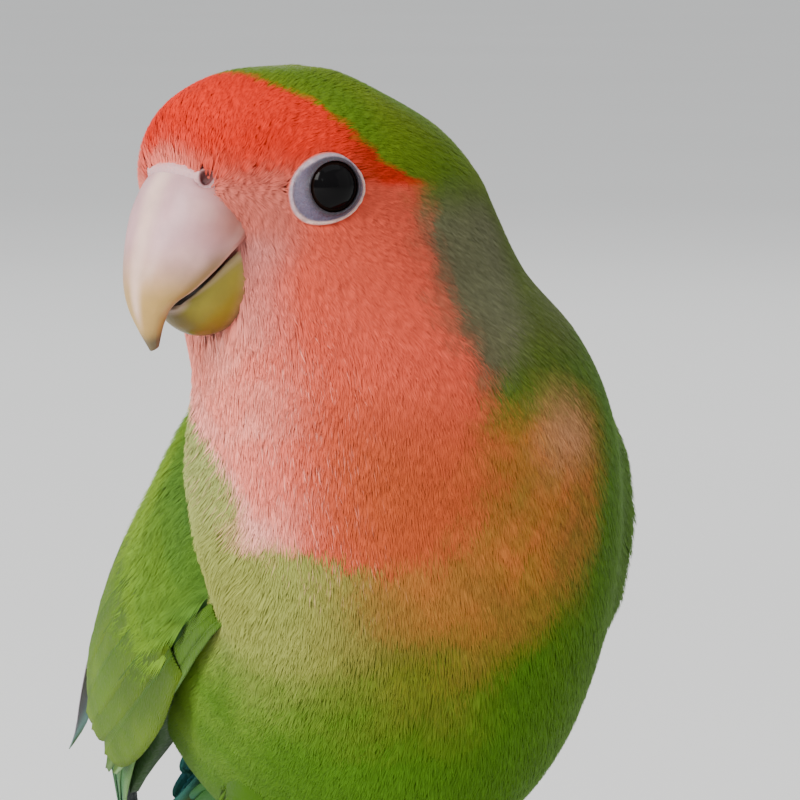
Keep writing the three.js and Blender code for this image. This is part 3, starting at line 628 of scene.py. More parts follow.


# The cere: soft bare skin, whitish pink, that runs from under the forehead's feathers onto the bill's
# root and holds the two nostrils. It is a collar over the bill's own surface, swollen round each
# nostril and pushed in to a pit there, whose dark red is painted shade.
CERE_ALONG, CERE_AROUND = (-0.9, 0.75), (0.06, 0.94)
CERE_SUNK, CERE_SWOLLEN, CERE_THICK = 0.25, 0.62, 2.0
NOSTRIL_RADIUS, NOSTRIL_DEEP = 0.55, 0.45
CERE_PINK = paint(206, 160, 162)


def soft_skin(name, scale, depth, along=None):
    """Bare skin: the attribute's colour over a fine cell bump, with some light passing through it.

    The cells lie in the object's own space, or where along is given, in that attribute of the piece.
    """
    material, tree, shader = new_material(name)
    place = noted(tree, along, "Vector") if along else add_node(tree, "TexCoord").outputs["Object"]
    cells = add_node(tree, "TexVoronoi", Vector=place, Scale=scale).outputs["Distance"]
    rough = add_node(tree, "MapRange", cells, To_Min=0.5, To_Max=0.7)
    bump = add_node(tree, "Bump", Strength=depth, Distance=0.0001, Height=cells)
    fill(tree, shader, Base_Color=noted(tree, "plumage"), Roughness=rough.outputs[0], Normal=bump.outputs[0])
    fill(tree, shader, Subsurface_Weight=0.3, Subsurface_Radius=(1.0, 0.4, 0.3), Subsurface_Scale=0.001)
    return material


BARE_SKIN = soft_skin("bare_skin", 2600.0, 0.6)


def sheet_faces(count, rows, cols):
    """Quads of count closed sheets, each an upper and an under grid joined round the rim."""
    upper = sheet_quads(rows, cols)
    under = sheet_quads(rows, cols)[:, ::-1] + rows * cols
    edge = np.concatenate(
        [
            np.arange(cols - 1),
            np.arange(rows - 1) * cols + cols - 1,
            (rows - 1) * cols + np.arange(cols - 1, 0, -1),
            np.arange(rows - 1, 0, -1) * cols,
        ]
    )
    after = np.roll(edge, -1)
    rim = np.stack([after, edge, edge + rows * cols, after + rows * cols], -1)
    one = np.concatenate([upper, under, rim])
    return (one[None] + (np.arange(count) * 2 * rows * cols)[:, None, None]).reshape(-1, 4)


def cere():
    """The bill's surface carried on past its root, plus a swelling that fades to nothing at its rim.

    The rim is sunk under the horn. Points near a nostril's axis are pushed in along it.
    """
    along = CERE_ALONG[0] + (CERE_ALONG[1] - CERE_ALONG[0]) * np.linspace(0, 1, 90)
    around = CERE_AROUND[0] + (CERE_AROUND[1] - CERE_AROUND[0]) * np.linspace(0, 1, 150)
    u, over = np.meshgrid(along, around, indexing="ij")
    here = bill_surface(UPPER_BILL, u, over)
    slope_over = bill_surface(UPPER_BILL, u, over + 0.004) - here
    way = unit(np.cross(slope_over, bill_surface(UPPER_BILL, u + 0.01, over) - here))
    way = way * np.sign(np.sum(way * (here - head_point(9.0, 0.0, 0.0)), -1, keepdims=True))
    fade = (1 - step_up(u, 0.2, CERE_ALONG[1])) * step_up(over, 0.06, 0.16) * (1 - step_up(over, 0.84, 0.94))
    swell = -CERE_SUNK + CERE_SWOLLEN * fade * step_up(u, -0.9, -0.2)
    colours = towards(CERE_PINK, HORN_PINK, step_up(u, 0.2, 0.7))
    colours = towards(colours, ROSE * 0.8, 0.8 * step_up(-u + 0.3 * mottle(here, 0.8), -0.4, 0.4))
    collar = nostril_near(here, 0.7, 1.3) * (1 - nostril_near(here, 0.2, 0.8))
    swell = swell + 0.3 * collar * fade
    swell = swell - NOSTRIL_DEEP * nostril_near(here, 0.5 * NOSTRIL_RADIUS, 1.25 * NOSTRIL_RADIUS)
    # Each nostril's pit is painted dark red, as painted shade.
    colours = towards(colours, NOSTRIL_PAINTED_SHADE, 0.95 * nostril_near(here, 0.5, 0.9))
    over_grid = here + way * swell[..., None]
    under = here - way * CERE_THICK
    both = np.stack([over_grid, under])[None]
    faces = sheet_faces(1, *u.shape)
    points = both.reshape(-1, 3)
    colours = np.concatenate([colours.reshape(-1, 3)] * 2)
    new_piece("cere", points, facing_out(points, faces), BARE_SKIN, colours)


cere()


# The eyes: black pupils in dark brown irises under a wet cornea, each a ball that sits deep in the
# head, seen through the round opening of the lids.
EYE_AHEAD, EYE_OUT, EYE_BALL, EYE_OPEN, EYE_RISE = 4.0, 12.7, 3.3, 2.6, 0.75
EYE_LOOK = np.radians(20.0)
PUPIL, IRIS = 2.1, 2.5
IRIS_BROWN = paint(30, 18, 14)
EYE_BLACK = paint(5, 4, 5)


def eye_frame(side):
    """The middle of an eye's opening, the way it looks, and two ways across it: ahead and up."""
    look = HEAD_LEFT * side * np.cos(EYE_LOOK) + HEAD_AHEAD * np.sin(EYE_LOOK)
    forward = HEAD_AHEAD * np.cos(EYE_LOOK) - HEAD_LEFT * side * np.sin(EYE_LOOK)
    return head_point(EYE_AHEAD, EYE_OUT * side, 0.0), look, forward


def eye_material():
    """Wet black and brown: the attribute's colour under a clear coat, nearly smooth."""
    material, tree, shader = new_material("wet_eye")
    place = add_node(tree, "TexCoord").outputs["Object"]
    noise = add_node(tree, "TexNoise", Vector=place, Scale=900.0)
    rough = add_node(tree, "MapRange", noise.outputs["Fac"], To_Min=0.06, To_Max=0.16)
    fill(tree, shader, Base_Color=noted(tree, "plumage"), Roughness=rough.outputs[0])
    fill(tree, shader, Coat_Weight=0.14, Coat_Roughness=0.02, Specular_IOR_Level=0.03)
    return material


WET_EYE = eye_material()


def eye(side, name):
    """A sphere whose poles lie on the line of sight: radius * (sin, sin, cos), finest round the pupil."""
    middle, look, forward = eye_frame(side)
    sunk = np.sqrt(EYE_BALL**2 - EYE_OPEN**2) + 0.55 - EYE_RISE
    rows, cols = 60, 64
    polar = np.pi * np.linspace(0.004, 1, rows)[:, None] ** 1.3
    turn = 2 * np.pi * np.arange(cols)[None, :] / cols
    across = np.sin(polar)[..., None]
    ring = forward * np.cos(turn)[..., None] + UP * np.sin(turn)[..., None]
    points = middle - look * sunk + EYE_BALL * (ring * across + look * np.cos(polar)[..., None])
    reach = (EYE_BALL * np.sin(polar) + 9.0 * (polar > np.pi / 2)) * np.ones_like(turn)
    colours = towards(EYE_BLACK, IRIS_BROWN, step_up(reach, PUPIL, PUPIL + 0.1))
    colours = towards(colours, EYE_BLACK, step_up(reach, IRIS, IRIS + 0.2))
    quads = sheet_quads(rows, cols, closed=True)
    quads = quads[:, ::-1] if side > 0 else quads
    made = new_piece(name, points, quads, WET_EYE, colours)
    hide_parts(name.replace("eyeball", "eye"))
    return made


eye(1, "eyeball_left")
eye(-1, "eyeball_right")


# The eye rings: bare blue-grey skin round each eye, edged by a raised whitish-pink bead that reaches
# further ahead and below. The ring is a polar sheet from under the ball's edge out to the feathers,
# where it lies on the skin of the head.
RING_REACH = (
    [0, 45, 90, 135, 180, 225, 270, 315, 360],
    [4.1, 3.25, 3.15, 3.25, 3.75, 3.35, 3.5, 4.55, 4.1],
)
RING_BEAD = paint(226, 184, 170)
RING_PALE = paint(168, 148, 158)
RING_SKIN = paint(88, 78, 100)
RING_DARK = paint(40, 34, 44)
LID_FINISH = soft_skin("lid_skin", 5200.0, 0.5)


def ring_share(places, side):
    """How far out a place lies in its eye's ring: 0 at the line of sight, 1 at the ring's edge."""
    middle, look, forward = eye_frame(side)
    away = places - middle
    x, y = away @ forward, away[..., 2]
    reach = np.interp(np.degrees(np.arctan2(y, x)) % 360, *RING_REACH)
    far = np.where(away @ look > -6, 0, 50)
    return np.hypot(x, y) / reach + far


def skin_height(places, look):
    """How far along look each place must move to reach the head, by halving an interval of 8 mm."""
    low, high = np.full(places.shape[:-1], -4.0), np.full(places.shape[:-1], 4.0)
    for _ in range(16):
        middle = (low + high) / 2
        here = places + look * middle[..., None]
        u = np.interp(here[..., 2], SPINE[8:, 2], np.arange(8, len(SPINE)))
        s = between(SPINE, u)
        away = here + FOOTPRINT - s[..., :3]
        ahead, left = away @ HEAD_AHEAD, away @ HEAD_LEFT
        depth = np.where(ahead > 0, s[..., 6], s[..., 7])
        inside = (left / s[..., 5]) ** 2 + (ahead / depth) ** 2 < 1
        low, high = np.where(inside, middle, low), np.where(inside, high, middle)
    return (low + high) / 2


def eye_ring(side, name):
    """Height over the ring: the eye's edge, a dip of skin, the bead at 0.9, and then below the feathers."""
    middle, look, forward = eye_frame(side)
    share, turn = np.meshgrid(np.linspace(0, 1, 40), 2 * np.pi * np.arange(96) / 96, indexing="ij")
    reach = np.interp(np.degrees(turn), *RING_REACH)
    reach = sum(np.roll(reach, k, 1) for k in (-4, -2, 0, 2, 4)) / 5
    inner = EYE_OPEN - 0.12
    radius = inner + (1.08 * reach - inner) * share
    flat = middle + forward * (radius * np.cos(turn))[..., None] + UP * (radius * np.sin(turn))[..., None]
    base = skin_height(flat, look)
    part = radius / reach
    # Heights over the plane of the lids: bead, lid, wrinkles, and never lower than the eyeball.
    rough = np.sin(11 * turn + 2 * np.sin(5 * turn)) + np.sin(23 * turn)
    bead = (0.22 + 0.05 * rough) * np.exp(-(((part - 0.94 - 0.006 * rough) / 0.04) ** 2))
    lid = 0.12 * np.exp(-(((radius - inner - 0.2) / 0.16) ** 2))
    rise = EYE_RISE - 0.05 + (base - EYE_RISE) * step_up(radius, inner, 0.95 * reach)
    wrinkle = 0.03 * np.sin(turn * 26 + 3 * np.sin(radius * 3)) * (part < 0.9)
    ball = np.sqrt(np.maximum(EYE_BALL**2 - radius**2, 0)) - np.sqrt(EYE_BALL**2 - EYE_OPEN**2) + 0.2
    rise = np.maximum(rise, ball + 0.15 * step_up(radius, inner, inner + 0.4))
    sunk = 1.1 * step_up(part, 0.98, 1.08)
    over = flat + look * (rise + 0.1 + bead + lid + wrinkle - sunk)[..., None]
    under = over[::-1] - look * 0.5
    grid = np.concatenate([over, under])
    rows, cols = grid.shape[:2]
    quads = sheet_quads(rows + 1, cols, closed=True) % (rows * cols)
    points = grid.reshape(-1, 3)
    turned = points[quads]
    normal = np.cross(turned[:, 1] - turned[:, 0], turned[:, 2] - turned[:, 0])
    if np.sum(normal[: 30 * cols] @ look) < 0:
        quads = quads[:, ::-1]
    # Grey skin, paler below, dark by the eye, then the bead, and coral under the feathers.
    low = step_up(-np.sin(turn), -0.3, 0.9)
    colours = towards(RING_SKIN * 0.8, RING_SKIN, 0.3 + 0.7 * low)
    colours = towards(colours, RING_DARK, 1 - step_up(radius, inner + 0.05, inner + 0.8))
    pale = step_up(part, 0.87, 0.93) * (0.75 + 0.1 * rough)
    bead_colour = towards(RING_PALE, RING_BEAD, step_up(-np.sin(turn) - 0.6 * np.cos(turn), -0.4, 0.7))
    colours = towards(colours, bead_colour, np.clip(pale, 0, 1))
    colours = towards(colours, CORAL, step_up(part, 0.97, 1.01))
    colours = np.concatenate([colours, colours[::-1]])
    return new_piece(name, points, quads, LID_FINISH, colours)


eye_ring(1, "eye_ring_left")
eye_ring(-1, "eye_ring_right")


# The wings: folded over the back, each a thin arm under tiers of overlapping vanes, from the long
# primaries out to the small feathers of the shoulder. A vane has a shaft, a web on each side of it,
# and a root sunk in the tier before. All of a wing's vanes are one mesh of closed sheets.
WING = np.array(
    [
        # lower edge x, y, z, upper edge x, y, z, bulge between them, depth of the arm
        [20.4, -4, 54, 19.6, 2, 75.5, 2.4, 3],
        [21.2, 3, 49.5, 16.5, 10.5, 75.8, 4.7, 6],
        [21.2, 11.5, 43.5, 13.8, 19.6, 71.2, 6, 7],
        [21, 20.5, 37.5, 11.3, 30.1, 64.2, 7, 8],
        [19.8, 31, 32, 9, 39.5, 55.2, 6.8, 7],
        [17.5, 42.5, 27.2, 6.8, 48, 46, 5.2, 4],
        [14.5, 54, 22.3, 5.2, 56.5, 37.2, 3.2, 2],
        [11.3, 65, 19.3, 4.2, 66, 28.6, 1.7, 1.4],
        [8.2, 75, 16.8, 3.4, 75.5, 21.2, 0.6, 1.2],
    ]
)
WING_BACK = np.array([-0.2, 0.85, -0.48])
ARM_ALONG = (0.5, 5.4)
# Tiers of vanes under the coverts, counted from the lowest layer out, and vanes from the lower edge up.
PRIMARY_TIPS = [8, 7.9, 7.75, 7.5, 7.2, 6.85, 6.5, 6.15]
TIERS = [
    # number, from, to, longer by, lowest, step, lift of the tip, tilt, half width
    (8, 2.3, 5.4, 0.06, 0.36, 0.078, 0.75, 0.4, 3.1),
    (11, 1.7, 4.1, 0.13, 0.07, 0.084, 0.95, 0.35, 2.9),
]
# Two long vanes along the lower edge, the first with a pale rim, and the loose one.
LOWER_VANES = np.array(
    [
        # from, to, root across, tip across, half width, lift of root and tip, tilt
        [0.3, 4.5, 0.02, 0.05, 0.9, -0.9, 0.2, 0.4],
        [0.6, 5.0, 0.06, 0.12, 1.5, -1.0, 0, 0.4],
    ]
)
LOOSE_VANE = np.array([[3.2, 6.9, 0.5, 0.5, 1.5, -1, 6.8, 0.1]])
# Coverts lie over them in staggered rows: where each row's roots are along the wing, and their size.
COVERT_ROWS = np.array([0.1, 0.26, 0.44, 0.64, 0.86, 1.1, 1.36, 1.64, 1.94, 2.26, 2.6, 2.96, 3.34])
COVERT_SIZE = ([0, 0.8, 1.8, 3.4], [0.62, 0.9, 1.2, 1.6])
COVERT_HALF, COVERT_LONG, COVERT_BARBS = 1.75, 8.2, 44
COVERT_LOW = ([0, 1, 2, 3.4], [0.16, 0.14, 0.11, 0.08])
WING_LIME = paint(120, 150, 26)
WING_GREEN = paint(88, 128, 32)
WING_DEEP = paint(54, 96, 36)
FLIGHT_TEAL = paint(38, 112, 92)
FLIGHT_DARK = paint(24, 44, 42)
FLIGHT_RIM = paint(150, 196, 130)
# The loose vane's lilac grey and pale blue are painted sheen: sky light on a dark feather.
LOOSE_SHEEN_GREY = paint(150, 138, 152)
LOOSE_SHEEN_BLUE = paint(146, 190, 184)


def on_wing(side, s, t):
    """Lower edge * (1 - t) + upper edge * t + out * bulge * 4t(1 - t), mirrored for the right wing."""
    row = between(WING, s)
    low, high = row[..., 0:3], row[..., 3:6]
    out = unit(np.cross(WING_BACK, high - low))
    t = np.asarray(t)[..., None]
    point = low + (high - low) * t + out * row[..., 6:7] * 4 * t * (1 - t)
    return (point - FOOTPRINT * np.array([side, 1, 1])) * np.array([side, 1, 1])


def wing_place(side, s, t):
    """A point of the wing's outer face, the way out of it, and the wing's width there."""
    point = on_wing(side, s, t)
    along = on_wing(side, s + 0.02, t) - point
    across = on_wing(side, s, t + 0.02) - point
    row = between(WING, s)
    width = np.linalg.norm(row[..., 3:6] - row[..., 0:3], axis=-1)
    return point, unit(np.cross(along, across)) * side, width


# Across a vane from -1 to 1: close columns at the middle carry the shaft.
VANE_ACROSS = np.array([-1, -0.7, -0.36, -0.07, 0, 0.07, 0.36, 0.7, 1.0])
SHAFT_RISE = np.array([0, 0, 0, 0, 1, 0, 0, 0, 0.0])
VANE_ALONG = 1 - (1 - np.linspace(0, 1, 12)) ** 1.35
SHAFT_OVER, SHAFT_UNDER = 0.14, 0.08


def vane_width(v, blunt):
    """0.6 at the root, 1 by the middle, and then rounded off to the tip by a superellipse."""
    grown = 0.6 + 0.4 * step_up(v, 0, 0.4)
    return grown * np.maximum(1 - np.clip((v - 0.45) / 0.55, 0, 1) ** blunt, 0) ** (1 / 2.2)


def columns(count, *given):
    """A table of count rows from its columns. A single number fills a column."""
    return np.stack([np.zeros(count) + column for column in given], -1)


def vanes(place, rows, camber, thick, blunt):
    """Closed sheets along rows of (from, to, root across, tip across, half, lifts, tilt).

    Each point stands off the face by the lift between root and tip, minus the tilt across it, plus
    camber * (1 - w^2) and the shaft. Returns the points, the quads, v, w, and each one's barb place.
    """
    s0, s1, t0, t1, half, lift0, lift1, tilt = (rows[:, k, None, None] for k in range(8))
    v, w = VANE_ALONG[None, :, None], VANE_ACROSS[None, None, :]
    reach = half * vane_width(v, blunt)
    s = s0 + (s1 - s0) * v + 0 * w
    t = t0 + (t1 - t0) * v + 0 * w
    width = place(s, t)[2]
    point, out, _ = place(s, t + w * reach / width)
    lift = lift0 + (lift1 - lift0) * v - tilt * w * reach / half + camber * (1 - w**2)
    lift = lift + SHAFT_OVER * SHAFT_RISE * (1 - 0.7 * v)
    over = point + out * lift[..., None]
    body = (thick * (1 - 0.55 * np.abs(w)) * (1 - 0.3 * v))[..., None]
    under = over - out * (body + SHAFT_UNDER * SHAFT_RISE[:, None])
    both = np.stack([over, under], 1)
    length = np.linalg.norm(np.diff(point, axis=1), axis=-1).cumsum(1)
    length = np.concatenate([0 * length[:, :1], length], 1)
    barb = np.stack([w * reach + 0 * s, length, 0 * s], -1)
    return both, np.stack([barb, barb], 1), v + 0 * s, w + 0 * s


def barb_group():
    """Barbs: the sine of the way along the shaft less 1.1 of the way off it, a little bent by noise."""
    takes = [("Barb place", "Vector"), ("Per mm", "Float", 3.0)]
    group, given, result = new_group("barb_lines", takes, [("Ridge", "Float")])
    place = given.outputs["Barb place"]
    parts = add_node(group, "SeparateXYZ", place)
    wander = add_node(group, "TexNoise", Vector=place, Scale=0.8).outputs["Fac"]
    off = add_node(group, "Math", parts.outputs["X"], operation="ABSOLUTE").outputs[0]
    slant = add_node(group, "Math", off, -1.1, parts.outputs["Y"], operation="MULTIPLY_ADD").outputs[0]
    bent = add_node(group, "Math", slant, wander, operation="ADD").outputs[0]
    turns = add_node(group, "Math", bent, given.outputs["Per mm"], operation="MULTIPLY").outputs[0]
    angle = add_node(group, "Math", turns, 2 * np.pi, operation="MULTIPLY").outputs[0]
    wave = add_node(group, "Math", angle, operation="SINE").outputs[0]
    fill(group, result, Ridge=wave)
    return group


BARB_LINES = barb_group()


def vane_material(name, sheen, per_mm, depth):
    """Webs of a vane: the attribute's colour through the grain, with the barbs as a fine bump."""
    material = feather_material(name, 0.35, sheen, 1800.0)
    tree = material.node_tree
    place = noted(tree, "barb", "Vector")
    lines = add_node(tree, "Group", group=BARB_LINES, Barb_place=place, Per_mm=per_mm)
    bump = add_node(tree, "Bump", Strength=depth, Distance=0.0002, Height=lines.outputs["Ridge"])
    fill(tree, tree.nodes["Principled BSDF"], Normal=bump.outputs[0])
    return material


WING_FINISH = vane_material("wing_vanes", 0.04, 3.2, 0.5)
COVERT_FINISH = feather_material("wing_coverts", 0.16, 0.06, 4000.0)


# A barb is a thin three-sided spindle: a point at its root, three corners at its middle and a tip.
BARB_FACES = np.array([[0, 1, 2], [0, 2, 3], [0, 3, 1], [4, 2, 1], [4, 3, 2], [4, 1, 3]])
BARB_PATCH = 0.003 * np.array([[0.5, 0], [0, 0.5], [1, 0.5], [0.5, 0.62], [0.5, 1]])
# Each barb's colour is darker at its root and its two low corners, as painted shade between the barbs, and a
# little lighter at its tip, as painted light.
BARB_PAINTED_SHADING = np.array([0.8, 0.95, 0.95, 0.99, 1.05])
# Height over half width at its middle, and how far the two low corners' normals lean outwards.
BARB_HIGH, BARB_LEAN = 0.45, 0.28
# Across a feather, a barb's root, middle and tip lie at these shares of its place.
FAN_OPENING = np.array([0.35, 0.75, 1.0])
BALL_ACROSS = 28.0


def surface_frame(surface, a, b):
    """The point of a surface, its two slopes by small differences, and the way out of it."""
    place = surface(a, b, 0.0)
    slope_a = (surface(a + 0.01, b, 0.0) - surface(a - 0.01, b, 0.0)) / 0.02
    slope_b = (surface(a, b + 0.01, 0.0) - surface(a, b - 0.01, 0.0)) / 0.02
    return place, slope_a, slope_b, unit(np.cross(slope_a, slope_b))


def fans(surface, root, way, size, shape, lifts, barbs, generator, flat=None):
    """Feathers as fans of barbs. A barb runs outwards from the root to its place p across the fan, from
    -1 to 1, and ends on the feather's round edge, long * (0.5 - 0.25 p^2).

    Each point is the root plus steps along and across the feather, taken in the surface's own numbers,
    or over a ball BALL_ACROSS wide where flat is true. Returns the paths, the numbers and the ways.
    """
    a0, b0 = root
    count = len(a0)
    place, slope_a, slope_b, out = surface_frame(surface, a0, b0)
    skew = generator.normal(0, 0.09, count)[:, None]
    across = np.cross(out, way)
    way, across = unit(way + across * skew), unit(across - way * skew)
    aa, ab = np.sum(slope_a * slope_a, -1), np.sum(slope_a * slope_b, -1)
    bb = np.sum(slope_b * slope_b, -1)
    det = np.maximum(aa * bb - ab * ab, 1e-6)

    def steps(v):
        """A way along the surface in the surface's own two numbers, by least squares."""
        va, vb = np.sum(v * slope_a, -1), np.sum(v * slope_b, -1)
        return ((bb * va - ab * vb) / det)[:, None, None], ((aa * vb - ab * va) / det)[:, None, None]

    half, long = shape
    p = np.linspace(-1, 1, barbs)[None] + generator.uniform(-1, 1, (count, barbs)) / barbs
    long = long * size[:, None]
    end = long * (0.5 - 0.25 * p * p + generator.uniform(-0.05, 0.05, p.shape))
    span = long * generator.uniform(0.52, 0.66, p.shape)
    y = np.stack([end - span, end - 0.45 * span, end], -1)
    x = (half * size[:, None] * p)[..., None] * FAN_OPENING
    low, middle, tip = lifts
    tip = tip[0] + (tip[1] - tip[0]) * generator.uniform(0, 1, p.shape)
    lift = np.stack([low[:, None] + 0 * p, middle[:, None] + 0 * p, tip], -1)
    a_way, b_way = steps(way)
    a_across, b_across = steps(across)
    a = a0[:, None, None] + a_way * y + a_across * x
    b = b0[:, None, None] + b_way * y + b_across * x
    path = surface(a, b, lift)
    if flat is not None:
        over = place[:, None, None] + way[:, None, None] * y[..., None]
        over = over + across[:, None, None] * x[..., None]
        over = over + out[:, None, None] * (lift - (x * x + y * y) / BALL_ACROSS)[..., None]
        path = np.where(flat[:, None, None, None], over, path)
    return path, a, b, out, across


def toned(tint, feather, barb, generator):
    """The barbs' colours times a random tone near 1 for each feather, and another for each barb."""
    tone = generator.normal(1, feather, (len(tint), 1)) * generator.normal(1, barb, tint.shape[:2])
    return tint * tone[..., None]


def barb_piece(name, path, ways, half, tint, patch, material, keep=None):
    """One mesh of barbs: the path's three points, the middle one spread to a triangle of that half width.

    Ways are each feather's way out and across, half and patch are for each feather too, and keep says
    which barbs are made. Normals lie between the skin's own and each side's.
    """
    barbs = path.shape[1]
    parts = [path.reshape(-1, 3, 3), tint.reshape(-1, 3)]
    parts += [np.repeat(part, barbs, 0) for part in (*ways, half, patch)]
    if keep is not None:
        parts = [part[keep] for part in parts]
    path, tint, out, across, half, patch = parts
    along = unit(path[:, 2] - path[:, 0])
    out = unit(out - along * np.sum(out * along, -1, keepdims=True))
    across = np.cross(out, along)
    root, middle, tip = path[:, 0], path[:, 1], path[:, 2]
    wide, high = half[:, None] * across, BARB_HIGH * half[:, None] * out
    points = np.stack([root, middle - wide, middle + wide, middle + high, tip], 1)
    lean = BARB_LEAN * across
    outs = unit(np.stack([out, out - lean, out + lean, out, out], 1))
    # The barbs' colours carry painted shading: shade at the root and the low corners, light at the tip.
    colours = tint[:, None] * BARB_PAINTED_SHADING[:, None]
    faces = (BARB_FACES[None] + 5 * np.arange(len(points))[:, None, None]).reshape(-1, 3)
    faces = facing_out(points.reshape(-1, 3), faces)
    return new_piece(name, points, faces, material, colours, patch[:, None] + BARB_PATCH, outs)


def vane_batch(rows, made, colour):
    """A batch's points, barb places and colours on both sides, and each vane's own strip of the map.

    The strip has the vane's number across it, and v up it.
    """
    both, barb, v, w = made
    number = (np.arange(len(rows)) + 0.5)[:, None, None] / len(rows)
    across = number + 0.8 * (w / 2) / len(rows)
    patch = np.stack([np.stack([across, 0.02 + 0.96 * v], -1)] * 2, 1)
    return both, barb, np.stack([colour, colour], 1), patch


def vane_piece(name, batches, material):
    """One mesh of several batches of vanes."""
    points, barbs, colours = (np.concatenate([b[k].reshape(-1, 3) for b in batches]) for k in range(3))
    patch = np.concatenate([b[3].reshape(-1, 2) for b in batches])
    faces, start = [], 0
    for batch in batches:
        count, sides, rows, cols = batch[0].shape[:4]
        faces.append(sheet_faces(count, rows, cols) + start)
        start += count * sides * rows * cols
    faces = facing_out(points, np.concatenate(faces))
    made = new_piece(name, points, faces, material, colours, patch)
    note_vectors(made, "barb", barbs)
    return made


def vary(generator, rows, along=0.05, across=0.012, tip=0.15):
    """Small differences between vanes: a little longer or shorter, turned, and more or less lifted."""
    rows = rows.copy()
    rows[:, 1] += generator.uniform(-along, along, len(rows))
    rows[:, 3] += generator.uniform(-across, across, len(rows))
    rows[:, 6] += generator.uniform(-tip, tip, len(rows))
    return rows


def tier_rows(tier):
    """The rows of one of TIERS, each vane a step above the last, and a little longer and more turned."""
    count, start, end, longer, lowest, step, tip, tilt, half = tier
    k = np.arange(count)
    at = lowest + step * k
    return columns(count, start, end + longer * k, at, at + 0.02 + 0.003 * k, half, -0.4, tip, tilt)


def tier_colours(batch, v, w, generator):
    """Lime green over the outer side of the shoulder, deeper inwards, with paler soft rims and darker
    towards each root. The lower vanes are darkened as painted shade, and each vane's covered inner web
    is darker, partly its own colour and partly painted shade next to the rim of the vane over it.
    """
    count = len(v)
    centre = batch[:, 0].mean((1, 2))
    lower = step_up(-centre[:, 2], -74, -44)
    tone = generator.uniform(0.88, 1.1, count)
    base = towards(WING_DEEP, WING_GREEN, 0.55 + 0.35 * lower)
    # Painted shade: the lower vanes are darker.
    base = towards(base, WING_LIME, 0.2 * lower) * (tone * (1 - 0.25 * lower))[:, None]
    base = base[:, None, None, :] + 0 * v[..., None]
    rim = np.maximum(np.abs(w) ** 3, step_up(v, 0.8, 1.0))
    colour = base * (1 - 0.3 * (1 - step_up(v, 0.2, 0.8)))[..., None]
    colour = towards(colour, WING_LIME, 0.4 * rim * (w < 0.2))
    # Darker covered inner web: partly its own colour, partly painted shade next to the rim of the vane over
    # it.
    colour = towards(colour, WING_DEEP * 0.6, 0.75 * step_up(w, -0.1, 0.8) * (1 - step_up(v, 0.86, 1.0)))
    streak = mottle(batch[:, 0] * np.array([1, 0.5, 0.5]), 1.2)
    colour = towards(colour, WING_LIME, 0.3 * step_up(streak, 0.0, 0.9))
    return towards(colour, WING_DEEP, 0.5 * (np.abs(w) < 0.04) * (1 - v))


def wing(side, name):
    """The arm, the primaries, the tiers over them, and one loose vane that stands off on the right."""
    generator = np.random.default_rng(31 if side > 0 else 32)

    def place(s, t):
        """This wing's face."""
        return wing_place(side, s, t)

    count = len(PRIMARY_TIPS)
    k = np.arange(count)
    start, end = 0.07 + 0.05 * k, 0.2 + 0.068 * k
    rows = columns(count, 2.7, PRIMARY_TIPS, start, end, 2.7, -0.5, 0.5 * k - 2.5, 0.2)
    made = vanes(place, rows, 0.2, 0.32, 3.4)
    v, w = made[2:]
    outer = step_up(-w, 0.0, 0.25)
    first = (k == 0)[:, None, None]
    colour = towards(FLIGHT_DARK, FLIGHT_TEAL, outer)
    colour = towards(colour, FLIGHT_RIM, 0.85 * step_up(-w, 0.72, 0.98) * (0.35 + 0.65 * first))
    colour = towards(colour, WING_GREEN, 0.6 * outer * (1 - step_up(v, 0.35, 0.75)))
    batches = [vane_batch(rows, made, colour)]
    made = vanes(place, LOWER_VANES, 0.15, 0.28, 3.4)
    v, w = made[2:]
    pale = np.array([0.65, 0.15])[:, None, None] * step_up(-w, 0.3, 0.7) * step_up(v, 0.3, 0.55)
    batches.append(vane_batch(LOWER_VANES, made, towards(WING_GREEN * 0.7, FLIGHT_RIM, pale)))
    if side < 0:
        made = vanes(place, LOOSE_VANE, 0.15, 0.26, 3.4)
        v, w = made[2:]
        # Painted sheen of sky light on a dark feather, lilac grey then pale blue, between its green root and
        # tip.
        colour = towards(WING_GREEN, LOOSE_SHEEN_GREY, step_up(v - 0.1 * w, 0.3, 0.45))
        colour = towards(colour, LOOSE_SHEEN_BLUE, step_up(v + 0.08 * w, 0.6, 0.85))
        colour = towards(colour, WING_GREEN, step_up(v, 0.85, 1.0))
        batches.append(vane_batch(LOOSE_VANE, made, colour))
    for tier in TIERS:
        rows = vary(generator, tier_rows(tier))
        made = vanes(place, rows, 0.35, 0.3, 2.3)
        batches.append(vane_batch(rows, made, tier_colours(made[0], *made[2:], generator)))
    made = vane_piece(name, batches, WING_FINISH)
    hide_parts(name.replace("vanes", "wing"))
    arm(side, name.replace("vanes", "arm"))
    coverts(side, name.replace("vanes", "coverts"), generator)


def sunk_front(s, t):
    """How far the wing's front, and most of all its lower corner, lies under the breast's feathers."""
    corner = (1 - step_up(s, 0, 1.8)) * (1 - step_up(t, 0, 0.4))
    return 2.8 * (1 - step_up(s, -0.4, 1.1)) ** 2 + 2.2 * corner


